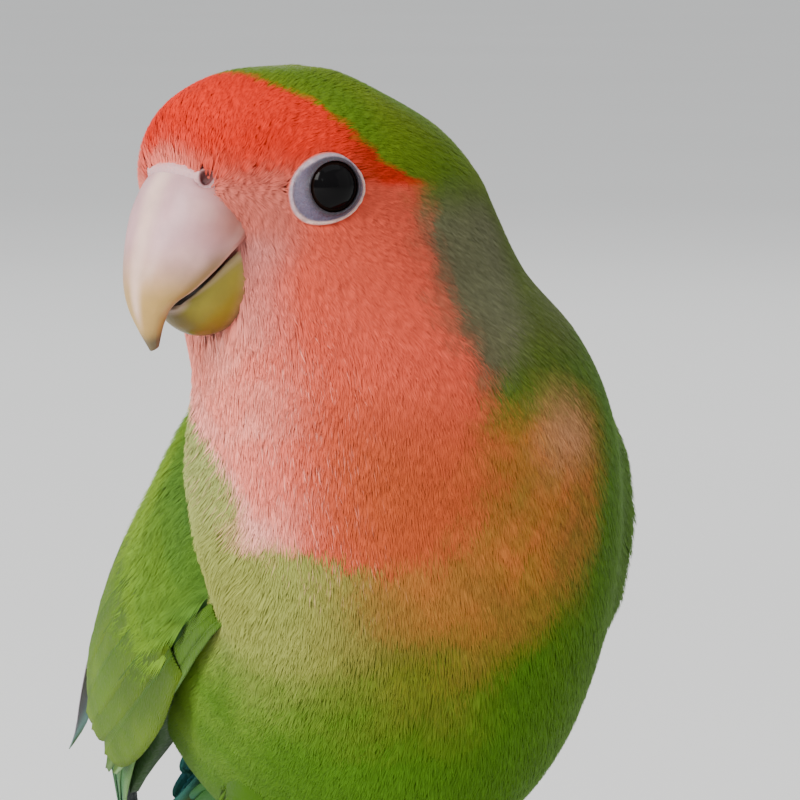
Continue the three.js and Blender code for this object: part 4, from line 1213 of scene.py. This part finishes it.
def coverts(side, name, generator):
    """Rows of small soft feathers over the wing, roots in the arm, each row staggered on the last.

    They lie along the wing, turned down by the lower edge's share near the front, and the front rows
    sink under the feathers of the breast's side.
    """
    s0, t0 = [], []
    for number, along in enumerate(COVERT_ROWS):
        wide = wing_place(side, np.array(along), np.array(0.5))[2]
        count = int(wide / (1.5 * np.interp(along, *COVERT_SIZE)))
        low = np.interp(along, *COVERT_LOW)
        t0.append(low + (0.99 - low) * (np.arange(count) + 0.25 + 0.5 * (number % 2)) / count)
        s0.append(np.full(count, along))
    s0, t0 = np.concatenate(s0), np.concatenate(t0)
    s0 = s0 + generator.uniform(-0.06, 0.06, s0.size)
    t0 = np.clip(t0 + generator.uniform(-0.012, 0.012, t0.size), 0.05, 0.99)
    size = np.interp(s0, *COVERT_SIZE) * generator.uniform(0.92, 1.1, s0.size)

    def surface(s, t, lift):
        """The wing's face, less the depth of its sunk front, raised by lift."""
        point, out, _ = wing_place(side, s, t)
        return point + out * (np.asarray(lift) - sunk_front(s, t))[..., None]

    slope_s, slope_t = surface_frame(surface, s0, t0)[1:3]
    down = 0.75 * (1 - step_up(s0, 0.2, 2.6)) * step_up(t0, 0.12, 0.4)
    way = unit(unit(slope_s) - unit(slope_t) * down[:, None])
    low = np.full(s0.size, -0.7)
    shape = (COVERT_HALF, COVERT_LONG)
    path, s, t, out, across = fans(
        surface, (s0, t0), way, size, shape, (low, low + 0.8, (0.4, 0.75)), COVERT_BARBS, generator
    )
    middle = path[..., 1, :]
    s, t = s[..., 1], t[..., 1]
    # Painted light and shade: the coverts are lighter where lit high on the wing and darker in painted
    # shadow at its front fold. The streaks and patches are the coverts' own.
    front = 1 - step_up(s + 0.6 * t, 0.2, 2.4)
    lit = step_up(t, 0.25, 0.7) * step_up(s, 0.2, 1.6) * (1 - 0.8 * step_up(s, 2.0, 3.8))
    streak = mottle(middle * np.array([1.0, 0.6, 0.2]), 1.1)
    shade = mottle(middle * np.array([1, 1, 0.35]), 2.6)
    tint = towards(WING_GREEN, WING_LIME, 0.25 + 0.55 * lit + 0.14 * shade)
    deep = 0.7 * front + 0.16 * streak + 0.4 * step_up(s, 2.6, 4)
    tint = toned(towards(tint, WING_DEEP, np.clip(deep, 0, 1)), 0.05, 0.05, generator)
    half = size * COVERT_HALF * 1.8 / COVERT_BARBS
    patch = np.stack([0.002 + 0.99 * t0, 0.002 + 0.99 * (s0 + 0.2) / 4.0], -1)
    barb_piece(name, path, (out * side, across), half, tint, patch, COVERT_FINISH)


def arm(side, name):
    """The flesh under the vanes: the wing's face down to its depth, in one closed sheet."""
    s, t = np.meshgrid(np.linspace(*ARM_ALONG, 16), np.linspace(0.05, 0.95, 12), indexing="ij")
    point, out, _ = wing_place(side, s, t)
    deep = between(WING, s)[..., 7:8]
    sunk = (0.7 + sunk_front(s, t))[..., None]
    sunk = sunk + 0.62 * (deep - sunk) * step_up(s, 2.4, 4.2)[..., None]
    deep = np.maximum(deep, sunk + 0.5)
    both = np.stack([point - out * sunk, point - out * deep])[None]
    faces = sheet_faces(1, *s.shape)
    flat = both.reshape(-1, 3)
    colours = np.broadcast_to(WING_DEEP * 0.6, flat.shape)
    new_piece(name, flat, facing_out(flat, faces), WING_FINISH, colours)


wing(1, "vanes_left")
wing(-1, "vanes_right")


# The tail: short and square, twelve vanes roofed over one another from the middle pair outwards, with
# green and blue coverts over and under its fleshy root. The vanes are made as the wings' are, on a
# face that slopes back and down.
TAIL_ROOT = np.array([0, 45, 34.6]) - FOOTPRINT
TAIL_DROP = np.radians(39.0)
TAIL_BACK = np.array([0, np.cos(TAIL_DROP), -np.sin(TAIL_DROP)])
TAIL_UP = np.array([0, np.sin(TAIL_DROP), np.cos(TAIL_DROP)])
# Coverts as root along the tail, how far to the left, tip along the tail, lift.
UPPER_COVERTS = [
    (1, 4.4, 14, 0.7),
    (1, -4.4, 14, 0.7),
    (2, 2.6, 17, 1.2),
    (2, -2.6, 17, 1.2),
    (4, 0.8, 20, 1.5),
    (4, -0.8, 20, 1.5),
    (6, 3.0, 22, 1.3),
    (6, -3.0, 22, 1.3),
    (8, 1.4, 26, 1.7),
    (8, -1.4, 26, 1.8),
    (10, 0, 29, 1.9),
]
UNDER_COVERTS = [(3, 3.4, 17), (3, -3.4, 17), (5, 1.4, 23), (5, -1.4, 22), (2, 4.2, 12), (2, -4.2, 12)]
TAIL_BASE = np.array([[0, 5.6, 5.2], [6, 5.4, 4.6], [12, 5, 3.4], [17, 4.2, 1.9], [20, 3, 0.9]])
TAIL_GREEN = paint(70, 132, 58)
TAIL_TEAL = paint(52, 132, 116)
TAIL_BLUE = paint(70, 156, 172)
TAIL_BAND = paint(28, 32, 34)
TAIL_FLAME = paint(196, 96, 48)


def tail_place(s, t):
    """The root + back * s + up * 0.0022 s^2, t to the left, both in millimetres."""
    s, t = np.broadcast_arrays(s, t)
    left = np.array([1.0, 0, 0])
    point = TAIL_ROOT + TAIL_BACK * s[..., None] + TAIL_UP * (0.0022 * s * s)[..., None]
    point = point + left * t[..., None]
    return point, np.broadcast_to(TAIL_UP, point.shape), np.ones_like(s)


def tail():
    """Twelve long vanes and the coverts in one mesh, and the fleshy root under them as a piece of its own.
    """
    pair = np.repeat(np.arange(6), 2)
    side = np.tile([1, -1], 6)
    level = np.where(pair == 0, 0.25 * side, -0.3 - 0.42 * pair)
    start, end = side * (0.5 + 0.55 * pair), side * (0.9 + 1.35 * pair)
    rows = columns(12, 2, 49 - 0.9 * pair, start, end, 3.3, level, level, side * 0.25)
    made = vanes(tail_place, rows, 0.3, 0.4, 3.6)
    v, w = made[2:]
    outer = side[:, None, None] * w
    hidden = (pair > 0)[:, None, None]
    colour = towards(TAIL_GREEN, TAIL_TEAL, step_up(v, 0.5, 0.95))
    colour = towards(colour, TAIL_BLUE, 0.5 * step_up(outer, 0.2, 0.9))
    flame = hidden * np.exp(-(((v - 0.55) / 0.18) ** 2)) * (1 - step_up(outer, 0.3, 0.8))
    colour = towards(colour, TAIL_FLAME, 0.85 * flame)
    colour = towards(colour, TAIL_BAND, 0.9 * hidden * np.exp(-(((v - 0.84) / 0.06) ** 2)))
    batches = [vane_batch(rows, made, colour)]
    start, across, end, lift = np.array(UPPER_COVERTS).T
    rows = columns(len(start), start, end, across * 0.7, across, 2.9, 0.8, lift, 0.1 * np.sign(across))
    made = vanes(tail_place, rows, 0.5, 0.26, 2.4)
    v = made[2]
    colour = towards(TAIL_BLUE, TAIL_GREEN, 0.5 * step_up(v, 0.3, 1.0))
    colour = colour * (0.8 + 0.2 * step_up(v, 0.1, 0.7))[..., None]
    batches.append(vane_batch(rows, made, colour))
    start, across, end = np.array(UNDER_COVERTS, float).T
    rows = columns(len(start), start, end, across * 0.7, across, 3.4, -5.2, -3.6, 0)
    made = vanes(tail_place, rows, -0.4, 0.26, 2.4)
    colour = towards(TAIL_GREEN, TAIL_BLUE, 0.3 * step_up(made[2], 0.4, 1.0))
    batches.append(vane_batch(rows, made, colour))
    made = vane_piece("tail_vanes", batches, WING_FINISH)
    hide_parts("tail")
    base = between(TAIL_BASE, np.linspace(0, len(TAIL_BASE) - 1, 14))
    turn = 2 * np.pi * np.arange(28) / 28
    middle = tail_place(base[:, 0], 0 * base[:, 0])[0] - 2.2 * TAIL_UP
    across = np.array([1.0, 0, 0]) * (base[:, 1:2] * np.cos(turn))[..., None]
    grid = middle[:, None] + across + TAIL_UP * (base[:, 2:3] * np.sin(turn))[..., None]
    tube_piece("tail_root", grid, WING_FINISH, TAIL_GREEN * 0.6)


tail()


# The legs: thighs under short feathers, then bare shanks and toes in grey scaled skin, two toes ahead
# and two behind, each with a curved claw of dark horn. A limb is a tube of round sections along its
# stations; broad plates run down the front of the shank and along the top of each toe.
THIGH = np.array(
    [
        # x, y, z, radius, as in the tables below
        [8.5, 9, 38, 7.5],
        [9.4, 12.6, 30, 7],
        [10.4, 15.6, 23.4, 5],
        [11.2, 17.6, 18, 3.4],
        [11.5, 18.2, 14.6, 2.5],
    ]
)
SHANK = np.array(
    [
        [11.5, 18.2, 14.2, 1.8],
        [11.5, 17.6, 12.2, 1.55],
        [11.7, 15, 7.4, 1.5],
        [11.9, 12.5, 3.4, 1.9],
        [12, 11.8, 1.7, 1.5],
    ]
)
TOE_RADIUS, TOE_HIGH, PLATE_RISE = 1.45, 1.3, 0.16
# Each toe's heading in degrees from ahead, its length and its claw's.
TOES = {
    "inner_front": (-22, 11.5, 4.6),
    "outer_front": (12, 15, 5.4),
    "inner_hind": (-158, 8.5, 4.2),
    "outer_hind": (146, 13.5, 5),
}
FOOT_MIDDLE = np.array([12, 11.5])
LEG_GREY = paint(150, 142, 136)
LEG_DARK = paint(96, 88, 84)
CLAW_DARK = paint(58, 52, 50)
CLAW_PALE = paint(120, 108, 98)


def limb(stations, side, rows, cols):
    """Rings of that radius about the smoothed stations, square to their line, with x mirrored by side.

    Returns the grid, the way from its middle to each point, and the turn round the ring.
    """
    table = between(stations, (len(stations) - 1) * np.linspace(0, 1, rows))
    middle = table[:, :3] * np.array([side, 1, 1]) - FOOTPRINT
    way = unit(np.gradient(middle, axis=0))
    steep = np.abs(way[:, 2:3]) > 0.8
    across = unit(np.cross(np.where(steep, [0, -1.0, 0], UP), way))
    up = np.cross(way, across)
    turn = 2 * np.pi * np.arange(cols) / cols
    ring = across[:, None] * np.cos(turn)[:, None] + up[:, None] * np.sin(turn)[:, None]
    return middle[:, None] + ring * table[:, 3][:, None, None], ring, turn


SCALED_SKIN = soft_skin("scaled_skin", 1.0, 0.8, along="plates")
CLAW_HORN = horn_material("claw_horn", 0.4, 0.2)


def scaled_limb(name, stations, side, length, every):
    """A limb whose upper side is raised into overlapping plates, each a saw tooth along the length."""
    rows = int(length * 7)
    grid, ring, turn = limb(stations, side, rows, 36)
    share = np.linspace(0, 1, rows)[:, None]
    run = share * length
    above = step_up(np.sin(turn)[None], 0.2, 0.7)
    tooth = (run / every) % 1
    grid = grid + ring * (PLATE_RISE * above * (tooth - 0.5) * step_up(1 - share, 0.02, 0.1))[..., None]
    grid[..., 2] = np.maximum(grid[..., 2], 0.02)
    seam = np.minimum(tooth, 1 - tooth)
    dark = above * (1 - step_up(seam, 0.0, 0.14))
    colours = towards(LEG_GREY, LEG_DARK, 0.25 + 0.6 * dark)
    plates = np.stack([1.6 * run + 0 * turn, 6.0 * turn / np.pi + 0 * run, 0 * run + 0 * turn], -1)
    return tube_piece(name, grid, SCALED_SKIN, colours, "plates", plates)


def toe_station(heading, distance, high, radius):
    """A station that far from the foot's middle along the heading, which turns from ahead to the left."""
    a = np.radians(heading)
    return [FOOT_MIDDLE[0] + distance * np.sin(a), FOOT_MIDDLE[1] - distance * np.cos(a), high, radius]


def toe_stations(heading, length):
    """A toe's stations, each at a share of its length, with its height and radius less or more."""
    shares = [
        (0, 0.3, 0.2),
        (0.25, 0.1, 0),
        (0.42, 0, -0.15),
        (0.6, 0, 0),
        (0.78, -0.05, -0.2),
        (0.94, -0.05, -0.1),
        (1.02, -0.05, -0.6),
    ]
    return np.array([toe_station(heading, length * s, TOE_HIGH + up, TOE_RADIUS + r) for s, up, r in shares])


def claw_stations(heading, length, reach):
    """A claw's stations, on from the toe's end: up over a low arch and down to its point."""
    shares = [(0, 1.7, 0.95), (0.3, 2.1, 0.85), (0.65, 1.8, 0.6), (0.9, 1.05, 0.35), (1, 0.5, 0.12)]
    return np.array([toe_station(heading, length * 0.96 + reach * s, up, r) for s, up, r in shares])


def claw(name, stations, side):
    """A curved cone, dark above and paler towards its point."""
    rows = 30
    grid, _, turn = limb(stations, side, rows, 24)
    share = np.linspace(0, 1, rows)[:, None] + 0 * turn
    colours = towards(CLAW_DARK, CLAW_PALE, 0.6 * step_up(share, 0.3, 1.0))
    growth = np.stack([4 * share, 2 * turn + 0 * share, 0 * share], -1)
    return tube_piece(name, grid, CLAW_HORN, colours, "growth", growth)


def leg(side, label):
    """The thigh's skin, the shank, four toes and four claws."""
    short = THIGH - np.array([0, 0, 0, 0.9])
    grid = limb(short, side, 40, 36)[0]
    made = tube_piece("thigh_skin_" + label, grid, FLESH_FINISH, BELLY_GREEN * 0.7)
    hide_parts("thigh_" + label)
    shank = scaled_limb("shank_" + label, SHANK, side, 14.0, 1.5)
    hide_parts("foot_" + label)
    for toe, (heading, length, reach) in TOES.items():
        scaled_limb("toe_%s_%s" % (label, toe), toe_stations(heading, length), side, length, 1.15)
        horn = claw("nail_%s_%s" % (label, toe), claw_stations(heading, length, reach), side)
        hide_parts("claw_%s_%s" % (label, toe))


leg(1, "left")
leg(-1, "right")


# The small feathers of head, neck, body and thighs. They lie over one another from the bill back and
# down like shingles, velvety on the face and longer on the body. Each is a fan of barbs, which are thin
# spindles with their roots sunk below the tips of the feathers ahead of them.
SIZE_AT = ([0, 3, 5, 6.5, 7.6, 8.8, 10, CROWN], [1.5, 1.6, 1.45, 1.15, 0.9, 0.66, 0.52, 0.5])
FEATHER_HALF, FEATHER_LONG = 1.9, 7.0
WINGS_BELOW, BORDER_BELOW = 6, 7  # the stations from which a coat piece meets the wings and their border
CROWN_BALL = 12.2  # the station above which feathers are laid over a ball, round the crown's pole
FROST = 0.08  # the share of the throat's and bib's barbs that are paler
COAT_FINISH = feather_material("small_feathers", 0.14, 0.06, 4000.0)


def lie(u, place, slope_u, out):
    """The way the feathers point: down the body, and on the head back from the bill and down the cheek.

    It is -dP/du on the body, blended over the neck into the way -ahead - down * b laid on the skin, and
    is turned aside round each eye.
    """
    ahead, _, high = in_head(place)
    down = np.interp(high, [-14, -6, 0, 6], [1.5, 0.8, 0.25, 0.0]) + 0.7 * step_up(-ahead, -2, 8)
    rise = 1.5 * step_up(ahead, 5, 10) * step_up(high, -1, 1.5)
    way = -HEAD_AHEAD + UP * (rise - down)[..., None]
    for side in (1, -1):
        middle, _, forward = eye_frame(side)
        away = place - middle
        near = np.exp(-((np.linalg.norm(away, axis=-1) / 5.0) ** 2))
        way = way + unit(away) * (0.9 * near)[..., None]
    share = step_up(u, 7.3, 9.6)[..., None]
    way = unit(-slope_u) * (1 - share) + unit(way) * share
    return unit(way - out * np.sum(way * out, -1, keepdims=True))


def nearest(places, samples):
    """Each place's distance to the nearest sample, and that sample's number, a thousand at a time."""
    far, which = np.empty(len(places)), np.empty(len(places), int)
    for start in range(0, len(places), 1000):
        gap = places[start : start + 1000, None] - samples[None]
        square = np.einsum("ijk,ijk->ij", gap, gap)
        which[start : start + 1000] = square.argmin(1)
        far[start : start + 1000] = np.sqrt(square.min(1))
    return far, which


def wing_samples():
    """Points over the faces of both wings, where little of the coat shows."""
    s, t = np.meshgrid(np.linspace(1.2, 6.5, 24), np.linspace(0.1, 0.86, 11), indexing="ij")
    return np.concatenate([on_wing(side, s, t).reshape(-1, 3) for side in (1, -1)])


def wing_border():
    """The front and upper edge of both wings, and how far the feathers stand up there to cover it."""
    s = np.concatenate([np.zeros(21), np.linspace(0.1, 4, 20)])
    t = np.concatenate([np.linspace(0, 1, 21), np.ones(20)])
    rise = np.interp(t - 0.25 * s, [-0.1, 0, 0.3, 0.6, 0.8, 1.0], [2.2, 1.8, 3.4, 3.3, 2.2, 0.9])
    return np.concatenate([on_wing(side, s, t) for side in (1, -1)]), np.tile(rise, 2)


def fluffed(u, around, lift):
    """The body with the feathers raised over the wings' border, falling off as a bell 4 mm wide."""
    place = on_body(u, around)
    flat = place.reshape(-1, 3)
    rise = np.zeros(len(flat))
    low = np.nonzero(flat[:, 2] < 84)[0]
    far, which = nearest(flat[low], WING_BORDER)
    rise[low] = BORDER_RISE[which] * np.exp(-((far / 4.0) ** 2))
    return on_body(u, around, lift + rise.reshape(np.shape(u)))


# The steps of an even sequence in two numbers: 1 over the plastic number, and 1 over its square.
EVEN_STEPS = (0.7548776662466927, 0.5698402909980532)
SCATTER_ROWS, SCATTER_COLS = 140, 160


def scatter(count, low, high, generator):
    """Roots spread evenly for their feathers' size: the two numbers of a low-discrepancy sequence go
    through the summed weights of the rows, and then through those of the cells of that row. A cell's
    weight is its area over the square of the size, and less under the wings."""
    rows, cols = SCATTER_ROWS, SCATTER_COLS
    edges = np.linspace(low, high, rows + 1)
    middles = (edges[1:] + edges[:-1]) / 2
    turns = 2 * np.pi * (np.arange(cols) + 0.5) / cols
    u, around = np.meshgrid(middles, turns, indexing="ij")
    place, slope_u, slope_a, _ = surface_frame(on_body, u, around)
    weight = np.linalg.norm(np.cross(slope_u, slope_a), axis=-1) / np.interp(u, *SIZE_AT) ** 2
    if low < WINGS_BELOW:
        far = nearest(place.reshape(-1, 3), WING_SAMPLES)[0].reshape(u.shape)
        weight = weight * (0.25 + 0.75 * step_up(far, 2.6, 4.2))
    n = np.arange(count)
    first = (0.5 + n * EVEN_STEPS[0] + generator.uniform(-0.2, 0.2, count) / count) % 1
    second = (0.5 + n * EVEN_STEPS[1]) % 1
    total = np.concatenate([[0], np.cumsum(weight.sum(1))])
    at = np.interp(first * total[-1], total, np.arange(rows + 1))
    row = np.minimum(at.astype(int), rows - 1)
    along = np.cumsum(weight, 1) / weight.sum(1, keepdims=True)
    flat = (along + np.arange(rows)[:, None]).ravel()
    cell = np.searchsorted(flat, row + second)
    before = np.where(cell % cols == 0, row, flat[np.maximum(cell - 1, 0)])
    part = (row + second - before) / np.maximum(flat[np.minimum(cell, flat.size - 1)] - before, 1e-9)
    around = 2 * np.pi * ((cell - row * cols) + np.clip(part, 0, 1)) / cols
    return low + (high - low) * at / rows, around


def bare(path):
    """True for a barb over an eye ring or a nostril, or one that stays inside the bill.

    A barb is inside the bill by how far its tip, middle and root stand above the bill's surface.
    """
    places = path[..., 1:, :]
    inside = np.zeros(path.shape[:-2], bool)
    for side in (1, -1):
        inside |= (ring_share(places, side) < 0.955).any(-1)
    flat = path.reshape(-1, 3)
    ahead, _, high = in_head(flat)
    close = np.nonzero((ahead > 2) & (high < 5) & (high > -18))[0]
    far, which = nearest(flat[close], BILL_SAMPLES)
    above = np.full(len(flat), 9.0)
    rise = np.sum((flat[close] - BILL_SAMPLES[which]) * BILL_OUTS[which], -1)
    above[close] = np.where(far < 4, rise, 9.0)
    root, middle, tip = np.moveaxis(above.reshape(path.shape[:-1]), -1, 0)
    inside |= (tip < 0.03) | (middle < -0.5) | (root < -1.1)
    middles = (path[..., 1:, :] + path[..., :-1, :]) / 2
    inside |= (nostril_near(np.concatenate([places, middles], -2), 0.85, 0.95) > 0.5).any(-1)
    return inside


def bill_samples():
    """Points and outward ways over both halves of the bill and the cere."""
    points, outs = [], []
    for table in (UPPER_BILL, LOWER_BILL):
        last = len(table) - 1
        along = last * np.linspace(0.02, 0.98, 36)
        u, over = np.meshgrid(along, np.linspace(0.02, 0.98, 40), indexing="ij")
        here = bill_surface(table, u, over)
        slope = bill_surface(table, u + 0.01, over) - here
        out = unit(np.cross(slope, bill_surface(table, u, over + 0.01) - here))
        middle = bill_surface(table, u, 0 * over + 1.5)
        out = out * np.sign(np.sum(out * (here - middle), -1, keepdims=True))
        points.append(here.reshape(-1, 3))
        outs.append(out.reshape(-1, 3))
    return np.concatenate(points), np.concatenate(outs)


WING_SAMPLES = wing_samples()
WING_BORDER, BORDER_RISE = wing_border()
BILL_SAMPLES, BILL_OUTS = bill_samples()


def coat(name, low, high, feathers, barbs, seed, slot):
    """Feathers between two stations, each barb tinted by the marking under the outer half of it."""
    generator = np.random.default_rng(seed)
    u0, a0 = scatter(feathers, low, high, generator)
    surface = fluffed if low < BORDER_BELOW else on_body
    place, slope_u, _, out = surface_frame(surface, u0, a0)
    size = np.interp(u0, *SIZE_AT) * generator.uniform(0.9, 1.12, feathers)
    way = lie(u0, place, slope_u, out)
    depth = coat_depth(u0)
    shape, lifts = (FEATHER_HALF, FEATHER_LONG), (-0.85 * depth, -0.3 * depth, (0.02, 0.14))
    flat = u0 > CROWN_BALL
    path, u, around, *ways = fans(surface, (u0, a0), way, size, shape, lifts, barbs, generator, flat)
    stray = generator.normal(0, 1, (2, feathers, 1)) * np.array([0.035, 0.022])[:, None, None]
    near_u = 0.3 * u0[:, None] + 0.35 * (u[..., 1] + u[..., 2]) + stray[0]
    near_a = 0.3 * a0[:, None] + 0.35 * (around[..., 1] + around[..., 2]) + stray[1]
    tint = plumage(near_u, near_a, path[..., 1, :])
    front = step_up(a0, 1.9, 2.6) * (1 - step_up(a0, 3.2, 3.8))
    front = front * step_up(u0, 5.1, 5.5) * step_up(-u0, -8.5, -7)
    frost = front[:, None] * (generator.uniform(0, 1, tint.shape[:2]) < FROST)
    tint = toned(towards(tint, PALE_PINK, 0.35 * frost), 0.035, 0.05, generator)
    half = size * FEATHER_HALF * 1.9 / barbs
    patch = 0.002 + 0.992 * np.stack([a0 / (2 * np.pi) % 1, (u0 - low) / (high - low)], -1)
    barb_piece(name, path, ways, half, tint, patch, COAT_FINISH, ~bare(path).ravel())


COATS = [
    # piece, from station, to station, feathers, barbs in each, seed, slot
    ("plumage_crown", 9.9, CROWN - 0.02, 1650, 20, 41, "face_feathers"),
    ("plumage_face", 8.5, 10.1, 1650, 20, 42, "face_feathers"),
    ("plumage_neck", 6.8, 8.7, 1400, 23, 43, "breast_feathers"),
    ("plumage_breast", 5.3, 7.0, 1250, 26, 44, "breast_feathers"),
    ("plumage_body", 3.6, 5.5, 1000, 32, 45, "body_feathers"),
    ("plumage_belly", 1.6, 3.8, 1000, 32, 46, "body_feathers"),
    ("plumage_rump", -0.3, 1.8, 800, 30, 47, "body_feathers"),
]
for coat_row in COATS:
    coat(*coat_row)


# The thighs' feathers: short and fine, made as the body's are, with their roots sunk in the tube of the
# thigh and their tips pointing down to the bare shank.
THIGH_FEATHERS, THIGH_BARBS = 260, 22


def trousers(side, name, seed):
    """Feathers over the thigh's tube, whose numbers are how far down it and the way round it."""
    generator = np.random.default_rng(seed)
    last = len(THIGH) - 1

    def surface(down, around, lift):
        """The ring of the thigh at that height, its radius less the coat's depth plus the lift."""
        row = between(THIGH, down)
        ahead = between(THIGH, down + 0.05)[..., :3] - between(THIGH, down - 0.05)[..., :3]
        way = unit(ahead * np.array([side, 1, 1]))
        steep = np.abs(way[..., 2:3]) > 0.8
        across = unit(np.cross(np.where(steep, [0, -1.0, 0], UP), way))
        ring = across * np.cos(around)[..., None] + np.cross(way, across) * np.sin(around)[..., None]
        middle = row[..., :3] * np.array([side, 1, 1]) - FOOTPRINT
        return middle + ring * (row[..., 3] + lift - 0.1)[..., None]

    n = np.arange(THIGH_FEATHERS)
    radius = THIGH[:, 3] + 1.5
    table = np.linspace(0.8, last, 60)
    total = np.concatenate([[0], np.cumsum(np.interp(table, np.arange(last + 1), radius)[:-1])])
    down = np.interp((0.5 + EVEN_STEPS[0] * n) % 1 * total[-1], total, table)
    around = 2 * np.pi * ((0.5 + EVEN_STEPS[1] * n) % 1)
    place, slope_u = surface_frame(surface, down, around)[:2]
    size = np.interp(down, [0, last], [1.0, 0.62]) * generator.uniform(0.9, 1.1, THIGH_FEATHERS)
    way = unit(slope_u)
    low = np.full(THIGH_FEATHERS, -1.0)
    shape = (FEATHER_HALF, FEATHER_LONG)
    path, _, _, out, across = fans(
        surface, (down, around), way, size, shape, (low, 0.4 * low, (0.0, 0.2)), THIGH_BARBS, generator
    )
    out = out * np.sign(np.sum(out * (place - surface(down, around + np.pi, 0.0)), -1, keepdims=True))
    tint = np.broadcast_to(towards(BELLY_GREEN, BACK_GREEN, 0.5), path[..., 1, :].shape)
    tint = toned(tint, 0.05, 0.05, generator)
    half = size * FEATHER_HALF * 1.9 / THIGH_BARBS
    patch = np.stack([0.002 + 0.99 * around / (2 * np.pi), 0.002 + 0.99 * down / last], -1)
    barb_piece(name, path, (out, across), half, tint, patch, COAT_FINISH)


trousers(1, "plumage_thigh_left", 51)
trousers(-1, "plumage_thigh_right", 52)


# The floor, the light and the camera: a plain pale floor that runs out of sight, soft lamps round the
# bird, and a long lens that stands where the photographer stood.
EYE_ON_PHOTO = (332.0, 186.0)
PHOTO_SIDE = 800.0
PIXELS_PER_MM = 10.5
BREAST = np.array([-6.0, -20.0, 70.0])
FLOOR_HALF = 12000.0
CAMERA_AWAY = 520.0
CAMERA_AZIMUTH, CAMERA_ELEVATION = -20.0, 4.0


def heading(azimuth, elevation):
    """The way from the bird to an angle round it, from ahead to its left, and above the floor."""
    a, e = np.radians(azimuth), np.radians(elevation)
    return np.array([np.sin(a) * np.cos(e), -np.cos(a) * np.cos(e), np.sin(e)])


def stood(made, stand, axis):
    """Links a lamp or a camera, standing at a place in millimetres with its back to the axis and level."""
    bpy.context.scene.collection.objects.link(made)
    side = unit(np.cross(UP, axis))
    matrix = np.eye(4)
    matrix[:3] = np.stack([side, np.cross(axis, side), axis, stand * MM], 1)
    made.matrix_world = Matrix(matrix.tolist())
    return made


def camera():
    """Stands away from the eye, turned so that the eye falls on its pixel and the frame is the photo's."""
    back = heading(CAMERA_AZIMUTH, CAMERA_ELEVATION)
    right = unit(np.cross(UP, back))
    up = np.cross(back, right)
    seen = eye_frame(1)[0]
    centre = seen + right * (PHOTO_SIDE / 2 - EYE_ON_PHOTO[0]) / PIXELS_PER_MM
    centre = centre + up * (EYE_ON_PHOTO[1] - PHOTO_SIDE / 2) / PIXELS_PER_MM
    stand = seen + back * CAMERA_AWAY
    lens = bpy.data.cameras.new("long_lens")
    lens.sensor_width = 36.0
    lens.lens = PIXELS_PER_MM * CAMERA_AWAY / PHOTO_SIDE * lens.sensor_width
    lens.clip_start, lens.clip_end = 0.01, 20.0
    made = bpy.data.objects.new("photographer", lens)
    bpy.context.scene.camera = stood(made, stand, unit(stand - centre))


def floor():
    """A flat square of pale plaster, twenty-four metres wide."""
    points = FLOOR_HALF * np.array([[-1, -1, 0], [1, -1, 0], [1, 1, 0], [-1, 1, 0]])
    mesh = bpy.data.meshes.new("floor")
    mesh.from_pydata((points * MM).tolist(), [], [[0, 1, 2, 3]])
    made = bpy.data.objects.new("floor", mesh)
    bpy.context.scene.collection.objects.link(made)
    material, tree, shader = new_material("pale_plaster")
    place = add_node(tree, "TexCoord").outputs["Object"]
    noise = add_node(tree, "TexNoise", Vector=place, Scale=6.0)
    blend = add_node(tree, "Mix")
    blend.data_type = "RGBA"
    fill(tree, blend, Factor=noise.outputs["Fac"], A=(0.8, 0.8, 0.79, 1), B=(0.84, 0.84, 0.83, 1))
    fill(tree, shader, Base_Color=blend.outputs["Result"], Roughness=0.9)
    made.data.materials.append(material)


def lamp(name, azimuth, elevation, away, size, power, colour):
    """A square area lamp at an angle round the bird's breast, which it faces."""
    axis = heading(azimuth, elevation)
    light = bpy.data.lights.new(name, "AREA")
    light.size, light.energy, light.color = size, power, colour
    made = stood(bpy.data.objects.new(name, light), BREAST + axis * away, axis)
    made.visible_camera = False


camera()
floor()
LAMPS = [
    # name, degrees round and up, distance in millimetres, size in metres, watts, colour
    ("window", -56, 34, 900, 0.4, 6.6, (1.0, 0.98, 0.95)),
    ("low_window", -80, 15, 1000, 0.36, 6.0, (1.0, 0.95, 0.9)),
    ("spark", -27, 22, 900, 0.035, 0.2, (1.0, 1.0, 1.0)),
    ("sky", 20, 80, 1100, 1.2, 3.5, (0.95, 0.97, 1.0)),
    ("fill", 50, 20, 1200, 1.0, 1.0, (1.0, 0.97, 0.94)),
    ("rim", 150, 35, 1000, 0.7, 2.0, (1.0, 1.0, 1.0)),
]
for lamp_row in LAMPS:
    lamp(*lamp_row)


def pale_room():
    """A world that is the floor's grey at the horizon and a little lighter overhead."""
    world = bpy.data.worlds.new("pale_room")
    world.use_nodes = True
    tree = world.node_tree
    parts = add_node(tree, "SeparateXYZ", add_node(tree, "TexCoord").outputs["Generated"])
    light = add_node(tree, "MapRange", parts.outputs["Z"], From_Max=0.5, To_Min=0.62, To_Max=0.8)
    background = tree.nodes["Background"]
    fill(tree, background, Color=(0.97, 0.985, 1.0, 1), Strength=light.outputs["Result"])
    bpy.context.scene.world = world


pale_room()
